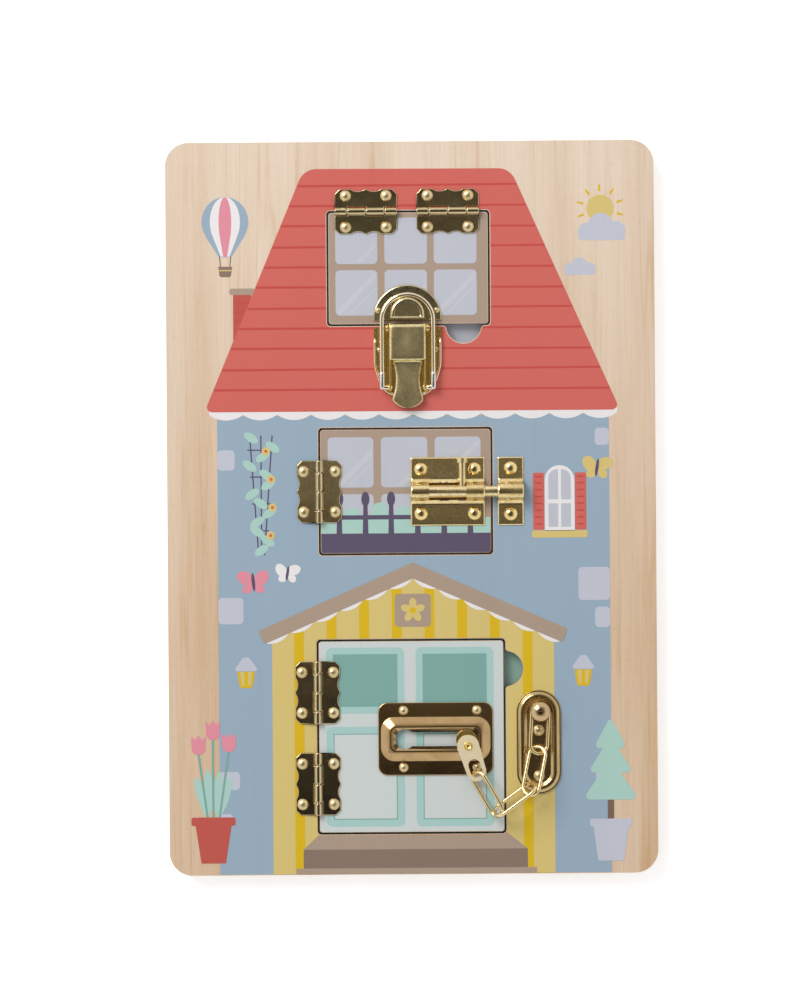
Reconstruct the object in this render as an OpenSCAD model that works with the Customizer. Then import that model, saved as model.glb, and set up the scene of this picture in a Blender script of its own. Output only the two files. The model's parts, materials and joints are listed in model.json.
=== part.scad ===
// Wooden busy board: a two-layer plywood board with three hinged leaves (attic window,
// balcony window and front door). Each leaf is held shut by a small brass lock:
// a toggle latch, a barrel bolt and a door chain. The board lies flat on its back:
// +X is to the house's right, +Y to its roof and +Z out of its front face.

/* [Board] */
// Width of the board
board_w = 200; // [192:1:240]
// Height of the board
board_h = 300; // [290:1:340]
// Radius of the board's four corners
board_corner_r = 9.5; // [4:0.5:16]
// Thickness of the plain panel at the back
back_t = 5; // [3:0.5:9]
// Thickness of the front panel and of the leaves cut from it
front_t = 5; // [4.5:0.5:8]
// Gap between a leaf and its opening, all round
leaf_gap = 0.8; // [0.6:0.1:1.2]
// Gap between a leaf's back and the back panel
leaf_seat_gap = 0.2; // [0.1:0.1:0.5]
// Radius of the openings' corners
opening_corner_r = 1.6; // [1:0.1:4]

/* [Attic window] */
// Width of the attic window's opening
attic_w = 66.8; // [62:0.2:76]
// Height of the attic window's opening
attic_h = 47.2; // [44:0.2:52]
// Sideways place of the opening's middle
attic_x = -0.7; // [-3:0.1:3]
// Height of the opening's lower edge above the board's middle
attic_y = 74.5; // [72:0.5:78]
// Distance between the middles of the two attic hinges
attic_hinge_pitch = 33.5; // [29:0.5:38]
// Radius of the finger notches beside the attic window and the door
notch_r = 7.2; // [5:0.1:8]
// Radius that rounds a notch's mouth
notch_mouth_r = 1.6; // [0.5:0.1:2.5]
// Distance of the attic notch from the right edge of its opening
attic_notch_inset = 10.9; // [9.5:0.1:13]

/* [Balcony window] */
// Width of the balcony window's opening
balcony_w = 71.3; // [70:0.1:76]
// Height of the balcony window's opening
balcony_h = 52.2; // [48:0.2:58]
// Sideways place of the opening's middle
balcony_x = -2.4; // [-4:0.1:0]
// Height of the opening's middle above the board's middle
balcony_y = 6.8; // [2:0.2:10]

/* [Front door] */
// Width of the door's opening
door_w = 77.2; // [74:0.2:80]
// Height of the door's opening
door_h = 79.8; // [76:0.2:84]
// Sideways place of the opening's middle
door_x = -0.7; // [-2:0.1:1]
// Height of the opening's middle above the board's middle
door_y = -93.6; // [-96:0.2:-92]
// Distance between the middles of the two door hinges
door_hinge_pitch = 37.4; // [32:0.2:44]
// Distance of the door's notch from the upper edge of its opening
door_notch_inset = 12.4; // [10:0.2:20]

/* [Hinges] */
// Length of a hinge along its pin
hinge_len = 25.6; // [22:0.2:28]
// Reach of each hinge leaf from the pin
hinge_reach = 9.2; // [8.6:0.1:10.5]
// Thickness of the hinge's sheet brass
hinge_t = 0.7; // [0.5:0.1:0.9]
// Outer radius of the hinge's knuckles
knuckle_r = 1.5; // [1.4:0.1:1.8]
// Radius of the hinge pin
hinge_pin_r = 0.8; // [0.6:0.1:0.9]
// Distance of a hinge's nails from its middle, along the pin
hinge_nail_along = 8.3; // [7:0.1:9]
// Distance of a hinge's nails from the pin
hinge_nail_across = 6.4; // [5.9:0.1:6.8]

/* [Nails] */
// Radius of the large domed nail heads
nail_head_r = 2.35; // [1.8:0.05:2.45]
// Height of the large domed nail heads
nail_head_h = 1.3; // [0.8:0.1:1.5]
// Radius of the nail heads on the barrel bolt
bolt_head_r = 2.75; // [2.2:0.05:2.8]
// Radius of the small nail heads on the toggle latch
small_head_r = 1.25; // [1:0.05:1.3]
// Height of the small nail heads
small_head_h = 0.8; // [0.5:0.1:0.9]
// Radius of a nail's shank
nail_shank_r = 0.6; // [0.4:0.05:0.7]
// Depth that a nail goes into the wood
nail_depth = 4; // [2.5:0.1:4]

/* [Toggle latch] */
// Sideways place of the toggle latch's middle
toggle_x = -1.2; // [-4:0.1:2]
// Distance of the lever's pivot below the attic window's opening
toggle_pivot_drop = 1; // [1:0.1:1.6]
// Height of the lever's pivot above the board's face
toggle_pivot_z = 3.1; // [3.1:0.1:3.4]
// Half the width of the latch's base plate
toggle_base_half = 13.85; // [13.6:0.05:14.5]
// Length of the base plate
toggle_base_len = 28; // [27:0.5:30]
// Half the width of the lever's head
lever_half = 7.5; // [7.2:0.1:7.6]
// Length of the lever's head, from pivot to step
lever_head_len = 13; // [11:0.5:15]
// Length of the lever, from pivot to the tip of its tail
lever_len = 32.8; // [31:0.2:36]
// Distance from the lever's pivot to the loop's pivot
loop_pivot_drop = 24.3; // [23:0.1:25]
// Radius of the loop's wire
loop_wire_r = 1; // [0.8:0.05:1.05]
// Half the width of the loop, at the middle of its wire
loop_half = 10.45; // [10.3:0.05:10.8]
// Length of the loop, from its pivot to the outside of its bow
loop_len = 38.9; // [38.5:0.1:39.4]
// Radius of the round plate that carries the hook
catch_plate_r = 14.05; // [13.9:0.05:14.4]
// Radius of the hook's cap
hook_r = 7.05; // [6.5:0.05:7.4]
// Height of the hook above the window's face
hook_h = 5; // [4.8:0.1:5.2]

/* [Barrel bolt] */
// Width of the bolt's plate, along the rod
bolt_plate_w = 30.3; // [30:0.1:31]
// Height of the bolt's plate, across the rod
bolt_plate_h = 27.9; // [26:0.1:30]
// Distance of the bolt's plate from the right edge of the balcony window's opening
bolt_edge_inset = 3.3; // [2.5:0.1:3.5]
// Radius of the bolt's rod
rod_r = 2.5; // [2.2:0.05:2.6]
// Length of the bolt's rod
rod_len = 45.7; // [45:0.1:46]
// Width of each of the two straps that guide the rod
strap_w = 7.5; // [6.5:0.1:7.6]
// Wall of the straps and of the keeper
strap_wall = 0.8; // [0.6:0.1:0.9]
// Travel of the rod
bolt_travel = 11.5; // [11:0.1:11.5]
// Radius of the bolt's handle
handle_r = 1.35; // [1.2:0.05:1.5]
// Length of the handle, from the rod's middle to its tip
handle_len = 13.5; // [12.5:0.1:14]
// Radius of the handle's head
handle_head_r = 2.15; // [1.8:0.05:2.3]
// Width of the keeper, along the rod
keeper_w = 10.6; // [9.5:0.1:11]
// Distance between the bolt's plate and the keeper
keeper_gap = 5.3; // [5.2:0.1:5.6]

/* [Chain lock] */
// Width of the track's plate
track_w = 46.9; // [46:0.1:48]
// Height of the track's plate
track_h = 29.7; // [29:0.1:31]
// Distance of the track's plate from the right edge of the door's opening
track_edge_inset = 5.3; // [5:0.1:6]
// Height of the slot above the door's middle
track_drop = -1; // [-1.5:0.1:0]
// Width of the slot
slot_w = 5.8; // [5.4:0.1:6]
// Travel of the slider, from the locked end to the keyhole
slider_travel = 25; // [24:0.1:25]
// Radius of the slot's keyhole
keyhole_r = 4.1; // [4:0.05:4.3]
// Height of the track's raised part
track_raise = 3; // [2.9:0.05:3.05]
// Radius of the slider's stem
stem_r = 2.3; // [2:0.05:2.5]
// Radius of the slider's foot, under the slot
stud_foot_r = 3.7; // [3.4:0.05:3.8]
// Radius of the round end of the slider's plate
slider_end_r = 4.6; // [4.3:0.05:4.8]
// Radius of the chain's wire
chain_wire_r = 0.75; // [0.6:0.05:0.78]
// Radius of a link's bows, at the middle of the wire
link_bow_r = 3.6; // [3.55:0.05:3.65]
// Length of a link's straight sides
link_straight = 12.95; // [12.9:0.05:13.05]
// Half the width of the chain's anchor plate
anchor_half = 9.1; // [8.9:0.1:9.4]
// Length of the anchor plate
anchor_len = 42.5; // [41:0.5:44]
// Radius of the knob's head
knob_r = 4; // [3.4:0.1:4.2]
// Radius of the knob's neck, which the last link turns on
knob_neck_r = 2; // [1.5:0.1:2.05]

/* [Hidden] */

$fn = 64;
// A cut that starts or ends this far outside the solid leaves no skin behind
over = 0.5;
// The running fit of a shaft in its hole, on the radius
run_fit = 0.08;
// The fit of a nail in its hole, on the radius
nail_fit = 0.05;
// The room between two moving pieces that pass each other
pass_gap = 0.2;
// The room under a plate or a rivet's head that turns on what it rests on
rest_gap = 0.05;
// Two shapes of one piece overlap by this much where they join
join = 0.1;

face_z = back_t + front_t;
leaf_t = front_t - leaf_seat_gap;
leaf_corner_r = opening_corner_r - leaf_gap / 2;
plate_t = 0.8;

// The small offsets from the middle with which hinges and locks are nailed on
attic_hinge_offset = -0.45;
door_hinge_offset = -0.5;
bolt_offset = -0.2;
stud_offset = -0.4;

attic_mid_y = attic_y + attic_h / 2;
attic_top_y = attic_y + attic_h;
balcony_left_x = balcony_x - balcony_w / 2;
balcony_right_x = balcony_x + balcony_w / 2;
door_left_x = door_x - door_w / 2;
door_right_x = door_x + door_w / 2;

// The pin stands over the gap beside the leaf
pin_inset = 0.35;
knuckle_z = knuckle_r + rest_gap;
knuckle_ends = [0, 0.2, 0.5, 0.8, 1];
knuckle_play = 0.15;
sheet_start = knuckle_r + 0.35;
hinge_clip = 2;
scallop_r = 5;
scallop_deep = 0.9;
scallop_at = 3.3;

// x, y and turn of each hinge. Its own +Y points to the board.
attic_hinges = [for (side = [-1, 1])
    [attic_x + attic_hinge_offset + side * attic_hinge_pitch / 2,
        attic_top_y - pin_inset, 0]];
balcony_hinges = [[balcony_left_x + pin_inset, balcony_y, 90]];
door_hinges = [for (side = [1, -1])
    [door_left_x + pin_inset, door_y + door_hinge_offset + side * door_hinge_pitch / 2, 90]];

toggle_pivot_y = attic_y - toggle_pivot_drop;
nose_r = toggle_pivot_z - plate_t - pass_gap;
rivet_r = 0.85;
ear_gap = 0.3;
ear_t = 0.8;
ear_r = 1.5;
rivet_head_r = 1.3;
rivet_head_t = 0.35;
ear_x = lever_half + ear_gap + ear_t / 2;
ear_foot = 3;
toggle_base_over = 0.3;
cheek_t = 0.8;
cheek_r = 1.6;
lever_t = 0.8;
tail_drop = 0.5;
tail_z = toggle_pivot_z - tail_drop;
tail_half = 6.9;
waist_half = 5.1;
waist_r = 21.3;
waist_y = -21;
tail_tip_r = 8;
rim_t = 0.8;
rim_h = 1.6;
rim_start = 4;
// The base plate's outline narrows in two steps below its shoulders
base_shoulder = 12.2;
base_corner = 3;
base_foot_in = 7.2;
base_nail_x = 11.65;
base_nail_y = -8.8;
catch_rise = 2.1;
catch_skirt = 0.65;
catch_low_y = attic_y + catch_rise;
catch_mid_y = catch_low_y + catch_skirt;
hook_rise = 2.8;
hook_skirt = 1.75;
hook_low_y = attic_y + hook_rise;
hook_mid_y = hook_low_y + hook_skirt;
hook_neck_in = 1.05;
hook_cap_t = 0.8;
catch_nail_x = 11.9;
catch_nail_rise = 4.2;
catch_nail_y = catch_low_y + catch_nail_rise;
foot_gap = 0.3;

bolt_y = balcony_y + bolt_offset;
bolt_right_x = balcony_right_x - bolt_edge_inset;
bolt_left_x = bolt_right_x - bolt_plate_w;
rod_float = 0.1;
bolt_z = plate_t + rod_r + rod_float;
rod_bore_r = rod_r + run_fit;
strap_r = rod_bore_r + strap_wall;
strap_foot_out = 5.3;
strap_foot_in = 3.9;
strap_foot_h = 0.6;
keeper_play = 0.4;
keeper_bore_r = rod_r + keeper_play;
keeper_r = keeper_bore_r + strap_wall;
keeper_left_x = bolt_right_x + keeper_gap;
rod_inset = 0.5;
rod_left_x = bolt_left_x + rod_inset;
handle_gap = 0.3;
handle_x = bolt_right_x - strap_w - handle_r - handle_gap;
handle_head_t = 1.8;
handle_root_gap = 0.03;
bolt_nail_in = 4.2;
bolt_nail_inset = 4.9;
keeper_nail_inset = 4.6;
guide_t = 0.6;
guide_h = 1.1;
guide_len = 4.2;
guide_gap = 0.35;
guide_to_handle = 5.8;
guide_x = [bolt_left_x + strap_w, handle_x - guide_to_handle];

track_mid_x = door_right_x - track_edge_inset - track_w / 2;
track_mid_y = door_y + track_drop;
track_corner_r = 3.7;
track_flange = 1.15;
track_raised_w = track_w - 2 * track_flange;
track_raised_h = 17.9;
track_raised_r = 5.5;
track_step_in = 0.8;
track_step_h = 0.7;
track_wall = 1;
slot_end_play = 0.4;
stud_in = 11;
stud_x = track_mid_x + track_w / 2 - stud_in;
stud_y = track_mid_y + stud_offset;
keyhole_x = stud_x - slider_travel;
stud_foot_t = 1.2;
stud_foot_z = 0.3;
slider_lift = 0.45;
slider_z = track_raise + slider_lift;
slider_t = 1;
slider_rivet_r = 1.8;
slider_rivet_head_r = 2.5;
slider_rivet_head_h = 0.55;
dimple_r = 1.3;
dimple_z = 0.2;
slider_bar_half = 4.1;
slider_eye_half = 2.45;
slider_reach = 17.6;
slider_window_start = 6;
track_nail_x = [-13.1, 16.9];
track_nail_y = 11.65;
track_head_r = 2;

anchor_gap = 13.5;
anchor_drop = 2.6;
anchor_mid_x = door_right_x + anchor_gap;
anchor_mid_y = door_y - anchor_drop;
anchor_rim_out = 8.2;
anchor_rim_in = 5.1;
anchor_rim_h = 1.7;
knob_neck_top = 5.6;
knob_rim_t = 0.6;
knob_top = 8;
anchor_nail_dy = 9.35;
anchor_nail_drop = 4.5;

// Where the chain's pieces meet, from the slider's stud (0) to the anchor's knob (5):
// x and y from the stud, and the height above the board's face
chain_offsets = [
    [0, 0, 0], [5, -15.8, 4.1], [12.8, -29.3, 6.5], [26.3, -19.4, 7.1], [29.6, -3.3, 4.1],
    [30.4, 11.4, 3.8]
];
chain_stops = [for (o = chain_offsets) [stud_x + o.x, stud_y + o.y, o.z]];
// How far each link is rolled about its own length, from the slider's link to the knob's
link_roll = [-45.7, 59.7, 25, -12.9];
// How far each link lies toward its slider end
link_shift = [0.47, -0.26, 1.43, -0.27];
knob_x = chain_stops[5].x;
knob_y = chain_stops[5].y;
slider_turn = atan2(chain_offsets[1].y, chain_offsets[1].x);

// ---- plane shapes and small solids that several pieces share ----

module rounded_square(w, h, r) {
    square([w - 2 * r, h], center = true);
    square([w, h - 2 * r], center = true);
    for (x = [-1, 1], y = [-1, 1])
        translate([x * (w / 2 - r), y * (h / 2 - r)]) circle(r);
}

// A long hole or plate with half-round ends, along X
module stadium(len, half) {
    square([len - 2 * half, 2 * half], center = true);
    for (side = [-1, 1])
        translate([side * (len / 2 - half), 0]) circle(half);
}

// A half-round bite below the line y = 0, with a rounded mouth
module notch_outline() {
    mouth_x = sqrt(pow(notch_r + notch_mouth_r, 2) - pow(notch_mouth_r, 2));
    share = notch_r / (notch_r + notch_mouth_r);
    circle(notch_r);
    difference() {
        polygon([
            [-mouth_x, over], [-mouth_x, 0], [-mouth_x * share, -notch_mouth_r * share],
            [mouth_x * share, -notch_mouth_r * share], [mouth_x, 0], [mouth_x, over]
        ]);
        for (side = [-1, 1])
            translate([side * mouth_x, -notch_mouth_r]) circle(notch_mouth_r);
    }
}

// A domed nail. Its head sits on z = 0 and its shank goes down.
module nail(head_r, head_h, depth) {
    dome_r = (head_r * head_r + head_h * head_h) / (2 * head_h);
    rotate_extrude()
        intersection() {
            translate([0, head_h - dome_r]) circle(dome_r);
            square([head_r, head_h]);
        }
    translate([0, 0, -depth]) cylinder(r = nail_shank_r, h = depth + join);
}

module at_points(points) {
    for (p = points)
        translate([p.x, p.y, 0]) children();
}

// Holes for nails through whatever lies between z = low and z = high
module nail_holes(points, low, high) {
    at_points(points)
        translate([0, 0, low]) cylinder(r = nail_shank_r + nail_fit, h = high - low);
}

// Blind holes in the wood, from the face down
module pilot_holes(points) {
    nail_holes(points, face_z - nail_depth - nail_fit, face_z + over);
}

// ---- where the nails go ----

function turned(p, deg) = [p.x * cos(deg) - p.y * sin(deg), p.x * sin(deg) + p.y * cos(deg)];

// The nails on one side of some hinges: side is 1 for the board's leaf, -1 for the other
function hinge_nails(hinges, side) = [
    for (h = hinges, along = [-1, 1])
        [h.x, h.y] + turned([along * hinge_nail_along, side * hinge_nail_across], h.z)
];
function mirrored_nails(mid_x, y, half) = [[mid_x - half, y], [mid_x + half, y]];

toggle_base_nail_points = mirrored_nails(toggle_x, toggle_pivot_y + base_nail_y, base_nail_x);
toggle_catch_nail_points = mirrored_nails(toggle_x, catch_nail_y, catch_nail_x);
bolt_plate_nail_points = [
    for (x = [bolt_left_x + bolt_nail_in, bolt_right_x - bolt_nail_in], side = [-1, 1])
        [x, bolt_y + side * (bolt_plate_h / 2 - bolt_nail_inset)]
];
keeper_nail_points = [
    for (side = [-1, 1])
        [keeper_left_x + keeper_w / 2,
            bolt_y + side * (bolt_plate_h / 2 - keeper_nail_inset)]
];
track_nail_points = [
    for (x = track_nail_x, side = [-1, 1]) [track_mid_x + x, track_mid_y + side * track_nail_y]
];
anchor_nail_points = [
    for (side = [-1, 1])
        [anchor_mid_x, anchor_mid_y - anchor_nail_drop + side * anchor_nail_dy]
];

// ---- the wooden board and its leaves ----

module back_panel() {
    color("burlywood")
        linear_extrude(back_t) rounded_square(board_w, board_h, board_corner_r);
}

module front_panel() {
    color("lightsteelblue")
        difference() {
            translate([0, 0, back_t])
                linear_extrude(front_t)
                    difference() {
                        rounded_square(board_w, board_h, board_corner_r);
                        translate([attic_x, attic_mid_y])
                            rounded_square(attic_w, attic_h, opening_corner_r);
                        translate([balcony_x, balcony_y])
                            rounded_square(balcony_w, balcony_h, opening_corner_r);
                        translate([door_x, door_y])
                            rounded_square(door_w, door_h, opening_corner_r);
                        translate([attic_x + attic_w / 2 - attic_notch_inset, attic_y])
                            notch_outline();
                        translate([door_right_x, door_y + door_h / 2 - door_notch_inset])
                            rotate(90) notch_outline();
                    }
            pilot_holes(hinge_nails(attic_hinges, 1));
            pilot_holes(hinge_nails(balcony_hinges, 1));
            pilot_holes(hinge_nails(door_hinges, 1));
            pilot_holes(toggle_base_nail_points);
            pilot_holes(keeper_nail_points);
            pilot_holes(anchor_nail_points);
        }
}

// A leaf that fills an opening of w by h at x, y, with holes for its nails
module leaf(x, y, w, h, nails) {
    difference() {
        translate([x, y, face_z - leaf_t])
            linear_extrude(leaf_t)
                rounded_square(w - 2 * leaf_gap, h - 2 * leaf_gap, leaf_corner_r);
        pilot_holes(nails);
    }
}

module attic_window() {
    color("rosybrown")
        leaf(attic_x, attic_mid_y, attic_w, attic_h,
            concat(hinge_nails(attic_hinges, -1), toggle_catch_nail_points));
}

module balcony_window() {
    color("thistle")
        leaf(balcony_x, balcony_y, balcony_w, balcony_h,
            concat(hinge_nails(balcony_hinges, -1), bolt_plate_nail_points));
}

module front_door() {
    color("lightcyan")
        leaf(door_x, door_y, door_w, door_h,
            concat(hinge_nails(door_hinges, -1), track_nail_points));
}

// ---- the five box hinges ----

// The outline of one hinge leaf, reaching from the pin along +Y
module hinge_outline() {
    half = hinge_len / 2;
    difference() {
        polygon([
            [-half, sheet_start], [-half, hinge_reach - hinge_clip],
            [-half + hinge_clip, hinge_reach], [half - hinge_clip, hinge_reach],
            [half, hinge_reach - hinge_clip], [half, sheet_start]
        ]);
        for (side = [-1, 1])
            translate([side * scallop_at, hinge_reach + scallop_r - scallop_deep])
                circle(scallop_r);
    }
}

// One leaf with its own knuckles. Knuckles 0 and 2 are the board's, 1 and 3 the other's.
module hinge_leaf(first) {
    difference() {
        union() {
            translate([0, 0, knuckle_z - knuckle_r])
                linear_extrude(hinge_t) hinge_outline();
            for (i = [first, first + 2]) {
                low = hinge_len * (knuckle_ends[i] - 0.5) + (i > 0 ? knuckle_play : 0);
                high = hinge_len * (knuckle_ends[i + 1] - 0.5) - (i < 3 ? knuckle_play : 0);
                translate([low, 0, knuckle_z])
                    rotate([0, 90, 0]) cylinder(r = knuckle_r, h = high - low);
                translate([low, 0, knuckle_z - knuckle_r])
                    cube([high - low, sheet_start + join, hinge_t]);
            }
        }
        translate([-hinge_len / 2 - over, 0, knuckle_z])
            rotate([0, 90, 0])
                cylinder(r = hinge_pin_r + run_fit, h = hinge_len + 2 * over);
        for (side = [-1, 1])
            translate([side * hinge_nail_along, hinge_nail_across, -over])
                cylinder(r = nail_shank_r + nail_fit, h = hinge_t + 2 * over);
    }
}

module at_hinge(h) {
    translate([h.x, h.y, face_z]) rotate(h.z) children();
}

module board_leaf(h) {
    color("darkgoldenrod") at_hinge(h) hinge_leaf(0);
}

// The moving leaf is the same stamping as the board's, turned half round
module moving_leaf(h) {
    color("goldenrod") at_hinge(h) rotate(180) hinge_leaf(0);
}

module hinge_pin(h) {
    color("gold")
        at_hinge(h)
            translate([-hinge_len / 2, 0, knuckle_z])
                rotate([0, 90, 0]) cylinder(r = hinge_pin_r, h = hinge_len);
}

module hinge_nail_set(hinges, side) {
    color("khaki")
        translate([0, 0, face_z + knuckle_z - knuckle_r + hinge_t])
            at_points(hinge_nails(hinges, side))
                nail(nail_head_r, nail_head_h,
                    nail_depth + knuckle_z - knuckle_r + hinge_t);
}

module attic_hinge_left_board_leaf() { board_leaf(attic_hinges[0]); }
module attic_hinge_left_window_leaf() { moving_leaf(attic_hinges[0]); }
module attic_hinge_left_pin() { hinge_pin(attic_hinges[0]); }
module attic_hinge_right_board_leaf() { board_leaf(attic_hinges[1]); }
module attic_hinge_right_window_leaf() { moving_leaf(attic_hinges[1]); }
module attic_hinge_right_pin() { hinge_pin(attic_hinges[1]); }
module balcony_hinge_board_leaf() { board_leaf(balcony_hinges[0]); }
module balcony_hinge_window_leaf() { moving_leaf(balcony_hinges[0]); }
module balcony_hinge_pin() { hinge_pin(balcony_hinges[0]); }
module door_hinge_upper_board_leaf() { board_leaf(door_hinges[0]); }
module door_hinge_upper_door_leaf() { moving_leaf(door_hinges[0]); }
module door_hinge_upper_pin() { hinge_pin(door_hinges[0]); }
module door_hinge_lower_board_leaf() { board_leaf(door_hinges[1]); }
module door_hinge_lower_door_leaf() { moving_leaf(door_hinges[1]); }
module door_hinge_lower_pin() { hinge_pin(door_hinges[1]); }

module attic_hinge_board_nails() { hinge_nail_set(attic_hinges, 1); }
module attic_hinge_window_nails() { hinge_nail_set(attic_hinges, -1); }
module balcony_hinge_board_nails() { hinge_nail_set(balcony_hinges, 1); }
module balcony_hinge_window_nails() { hinge_nail_set(balcony_hinges, -1); }
module door_hinge_board_nails() { hinge_nail_set(door_hinges, 1); }
module door_hinge_door_nails() { hinge_nail_set(door_hinges, -1); }

// ---- the toggle latch on the attic window ----

// Places children with the lever's pivot above the origin, on the board's face
module at_toggle() {
    translate([toggle_x, toggle_pivot_y, face_z]) children();
}

// A rod along X from x = low to x = high, at y, z
module rod_along_x(r, low, high, y, z) {
    translate([low, y, z]) rotate([0, 90, 0]) cylinder(r = r, h = high - low);
}

// The base plate's outline, drawn in by inset on every side
module toggle_base_outline(inset) {
    half = toggle_base_half - inset;
    top = toggle_base_over - inset;
    low = top - toggle_base_len + 2 * inset;
    polygon([
        [-half, top], [-half, low + base_shoulder],
        [-half + base_corner, low + base_corner], [-half + base_foot_in, low],
        [half - base_foot_in, low], [half - base_corner, low + base_corner],
        [half, low + base_shoulder], [half, top]
    ]);
}

module toggle_base() {
    color("darkgoldenrod")
        at_toggle()
            difference() {
                union() {
                    linear_extrude(plate_t) toggle_base_outline(0);
                    linear_extrude(rim_h)
                        difference() {
                            toggle_base_outline(0);
                            toggle_base_outline(rim_t);
                            square([2 * (toggle_base_half - rim_t), 2 * rim_start], center = true);
                        }
                    for (side = [-1, 1])
                        translate([side * ear_x - ear_t / 2, 0, 0]) {
                            rod_along_x(ear_r, 0, ear_t, 0, toggle_pivot_z);
                            translate([0, -ear_foot, 0])
                                cube([ear_t, ear_foot + toggle_base_over, toggle_pivot_z]);
                        }
                }
                rod_along_x(rivet_r + run_fit, -toggle_base_half, toggle_base_half,
                    0, toggle_pivot_z);
                nail_holes(mirrored_nails(0, base_nail_y, base_nail_x), -over, plate_t + over);
            }
}

// The outline of the lever's tail: a narrow waist and a flared, rounded tip
module lever_tail_outline() {
    tip_mid_y = -lever_len + tail_tip_r;
    intersection() {
        difference() {
            translate([-tail_half, -lever_len])
                square([2 * tail_half, lever_len - lever_head_len]);
            for (side = [-1, 1])
                translate([side * (waist_half + waist_r), waist_y]) circle(waist_r);
        }
        union() {
            translate([0, tip_mid_y]) circle(tail_tip_r);
            translate([-tail_half, tip_mid_y])
                square([2 * tail_half, -lever_head_len - tip_mid_y]);
        }
    }
}

module toggle_lever() {
    color("goldenrod")
        at_toggle()
            difference() {
                union() {
                    rod_along_x(nose_r, -lever_half, lever_half, 0, toggle_pivot_z);
                    translate([-lever_half, -lever_head_len, toggle_pivot_z + nose_r - lever_t])
                        cube([2 * lever_half, lever_head_len, lever_t]);
                    translate([-lever_half, -lever_head_len - lever_t, tail_z])
                        cube([2 * lever_half, lever_t, toggle_pivot_z + nose_r - tail_z]);
                    translate([0, 0, tail_z])
                        linear_extrude(lever_t) lever_tail_outline();
                    for (side = [-1, 1]) {
                        low = side > 0 ? lever_half - cheek_t : -lever_half;
                        translate([low, -loop_pivot_drop, toggle_pivot_z - cheek_r])
                            cube([cheek_t, loop_pivot_drop, 2 * cheek_r]);
                        rod_along_x(cheek_r, low, low + cheek_t,
                            -loop_pivot_drop, toggle_pivot_z);
                    }
                }
                rod_along_x(rivet_r + run_fit, -toggle_base_half, toggle_base_half,
                    0, toggle_pivot_z);
                for (side = [-1, 1])
                    rod_along_x(loop_wire_r + run_fit, side * lever_half - cheek_t - over,
                        side * lever_half + cheek_t + over, -loop_pivot_drop, toggle_pivot_z);
            }
}

// The rivet runs through the ears and the lever, with a flat head outside each ear
module toggle_lever_rivet() {
    end = ear_x + ear_t / 2 + rest_gap;
    color("gold")
        at_toggle() {
            rod_along_x(rivet_r, -end - join, end + join, 0, toggle_pivot_z);
            rod_along_x(rivet_head_r, end, end + rivet_head_t, 0, toggle_pivot_z);
            rod_along_x(rivet_head_r, -end - rivet_head_t, -end, 0, toggle_pivot_z);
        }
}

// A bent wire: two legs, a half-round bow at the hook's end and two feet in the lever
module toggle_loop() {
    bow_y = loop_len - loop_wire_r - loop_half;
    foot_in = lever_half - cheek_t - foot_gap;
    color("gold")
        at_toggle()
            translate([0, -loop_pivot_drop, toggle_pivot_z]) {
                translate([0, bow_y, 0])
                    rotate_extrude(angle = 180) translate([loop_half, 0]) circle(loop_wire_r);
                for (side = [-1, 1]) {
                    translate([side * loop_half, 0, 0])
                        rotate([-90, 0, 0]) cylinder(r = loop_wire_r, h = bow_y);
                    translate([side * loop_half, 0, 0]) sphere(loop_wire_r);
                    rod_along_x(loop_wire_r, side > 0 ? foot_in : -loop_half,
                        side > 0 ? loop_half : -foot_in, 0, 0);
                }
            }
}

module catch_outline(r, low_y, mid_y) {
    translate([toggle_x, mid_y])
        intersection() {
            circle(r);
            translate([-r, 0]) square([2 * r, r]);
        }
    translate([toggle_x - r, low_y]) square([2 * r, mid_y - low_y + join]);
}

// The half-round plate and the hook with its wider cap
module toggle_catch() {
    color("darkgoldenrod")
        difference() {
            translate([0, 0, face_z]) {
                linear_extrude(plate_t) catch_outline(catch_plate_r, catch_low_y, catch_mid_y);
                linear_extrude(hook_h)
                    catch_outline(hook_r - hook_neck_in, hook_low_y, hook_mid_y);
                translate([0, 0, hook_h - hook_cap_t])
                    linear_extrude(hook_cap_t) catch_outline(hook_r, hook_low_y, hook_mid_y);
            }
            nail_holes(toggle_catch_nail_points, face_z - over, face_z + plate_t + over);
        }
}

module small_nails(points) {
    color("khaki")
        translate([0, 0, face_z + plate_t])
            at_points(points) nail(small_head_r, small_head_h, nail_depth + plate_t);
}

module toggle_base_nails() { small_nails(toggle_base_nail_points); }
module toggle_catch_nails() { small_nails(toggle_catch_nail_points); }

// ---- the barrel bolt on the balcony window ----

// A strap over the rod, from x = low, open below the rod's bore
module bolt_strap(low, w, outer_r) {
    translate([low, 0, 0]) {
        rod_along_x(outer_r, 0, w, 0, bolt_z);
        translate([0, -outer_r, 0]) cube([w, 2 * outer_r, bolt_z]);
    }
}

// The sheet flares out into a low foot on both sides of the straps
module strap_foot(low, w) {
    translate([low, 0, plate_t - join])
        rotate([90, 0, 90])
            linear_extrude(w)
                polygon([
                    [-strap_foot_out, 0], [-strap_foot_in, strap_foot_h + join],
                    [strap_foot_in, strap_foot_h + join], [strap_foot_out, 0]
                ]);
}

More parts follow.
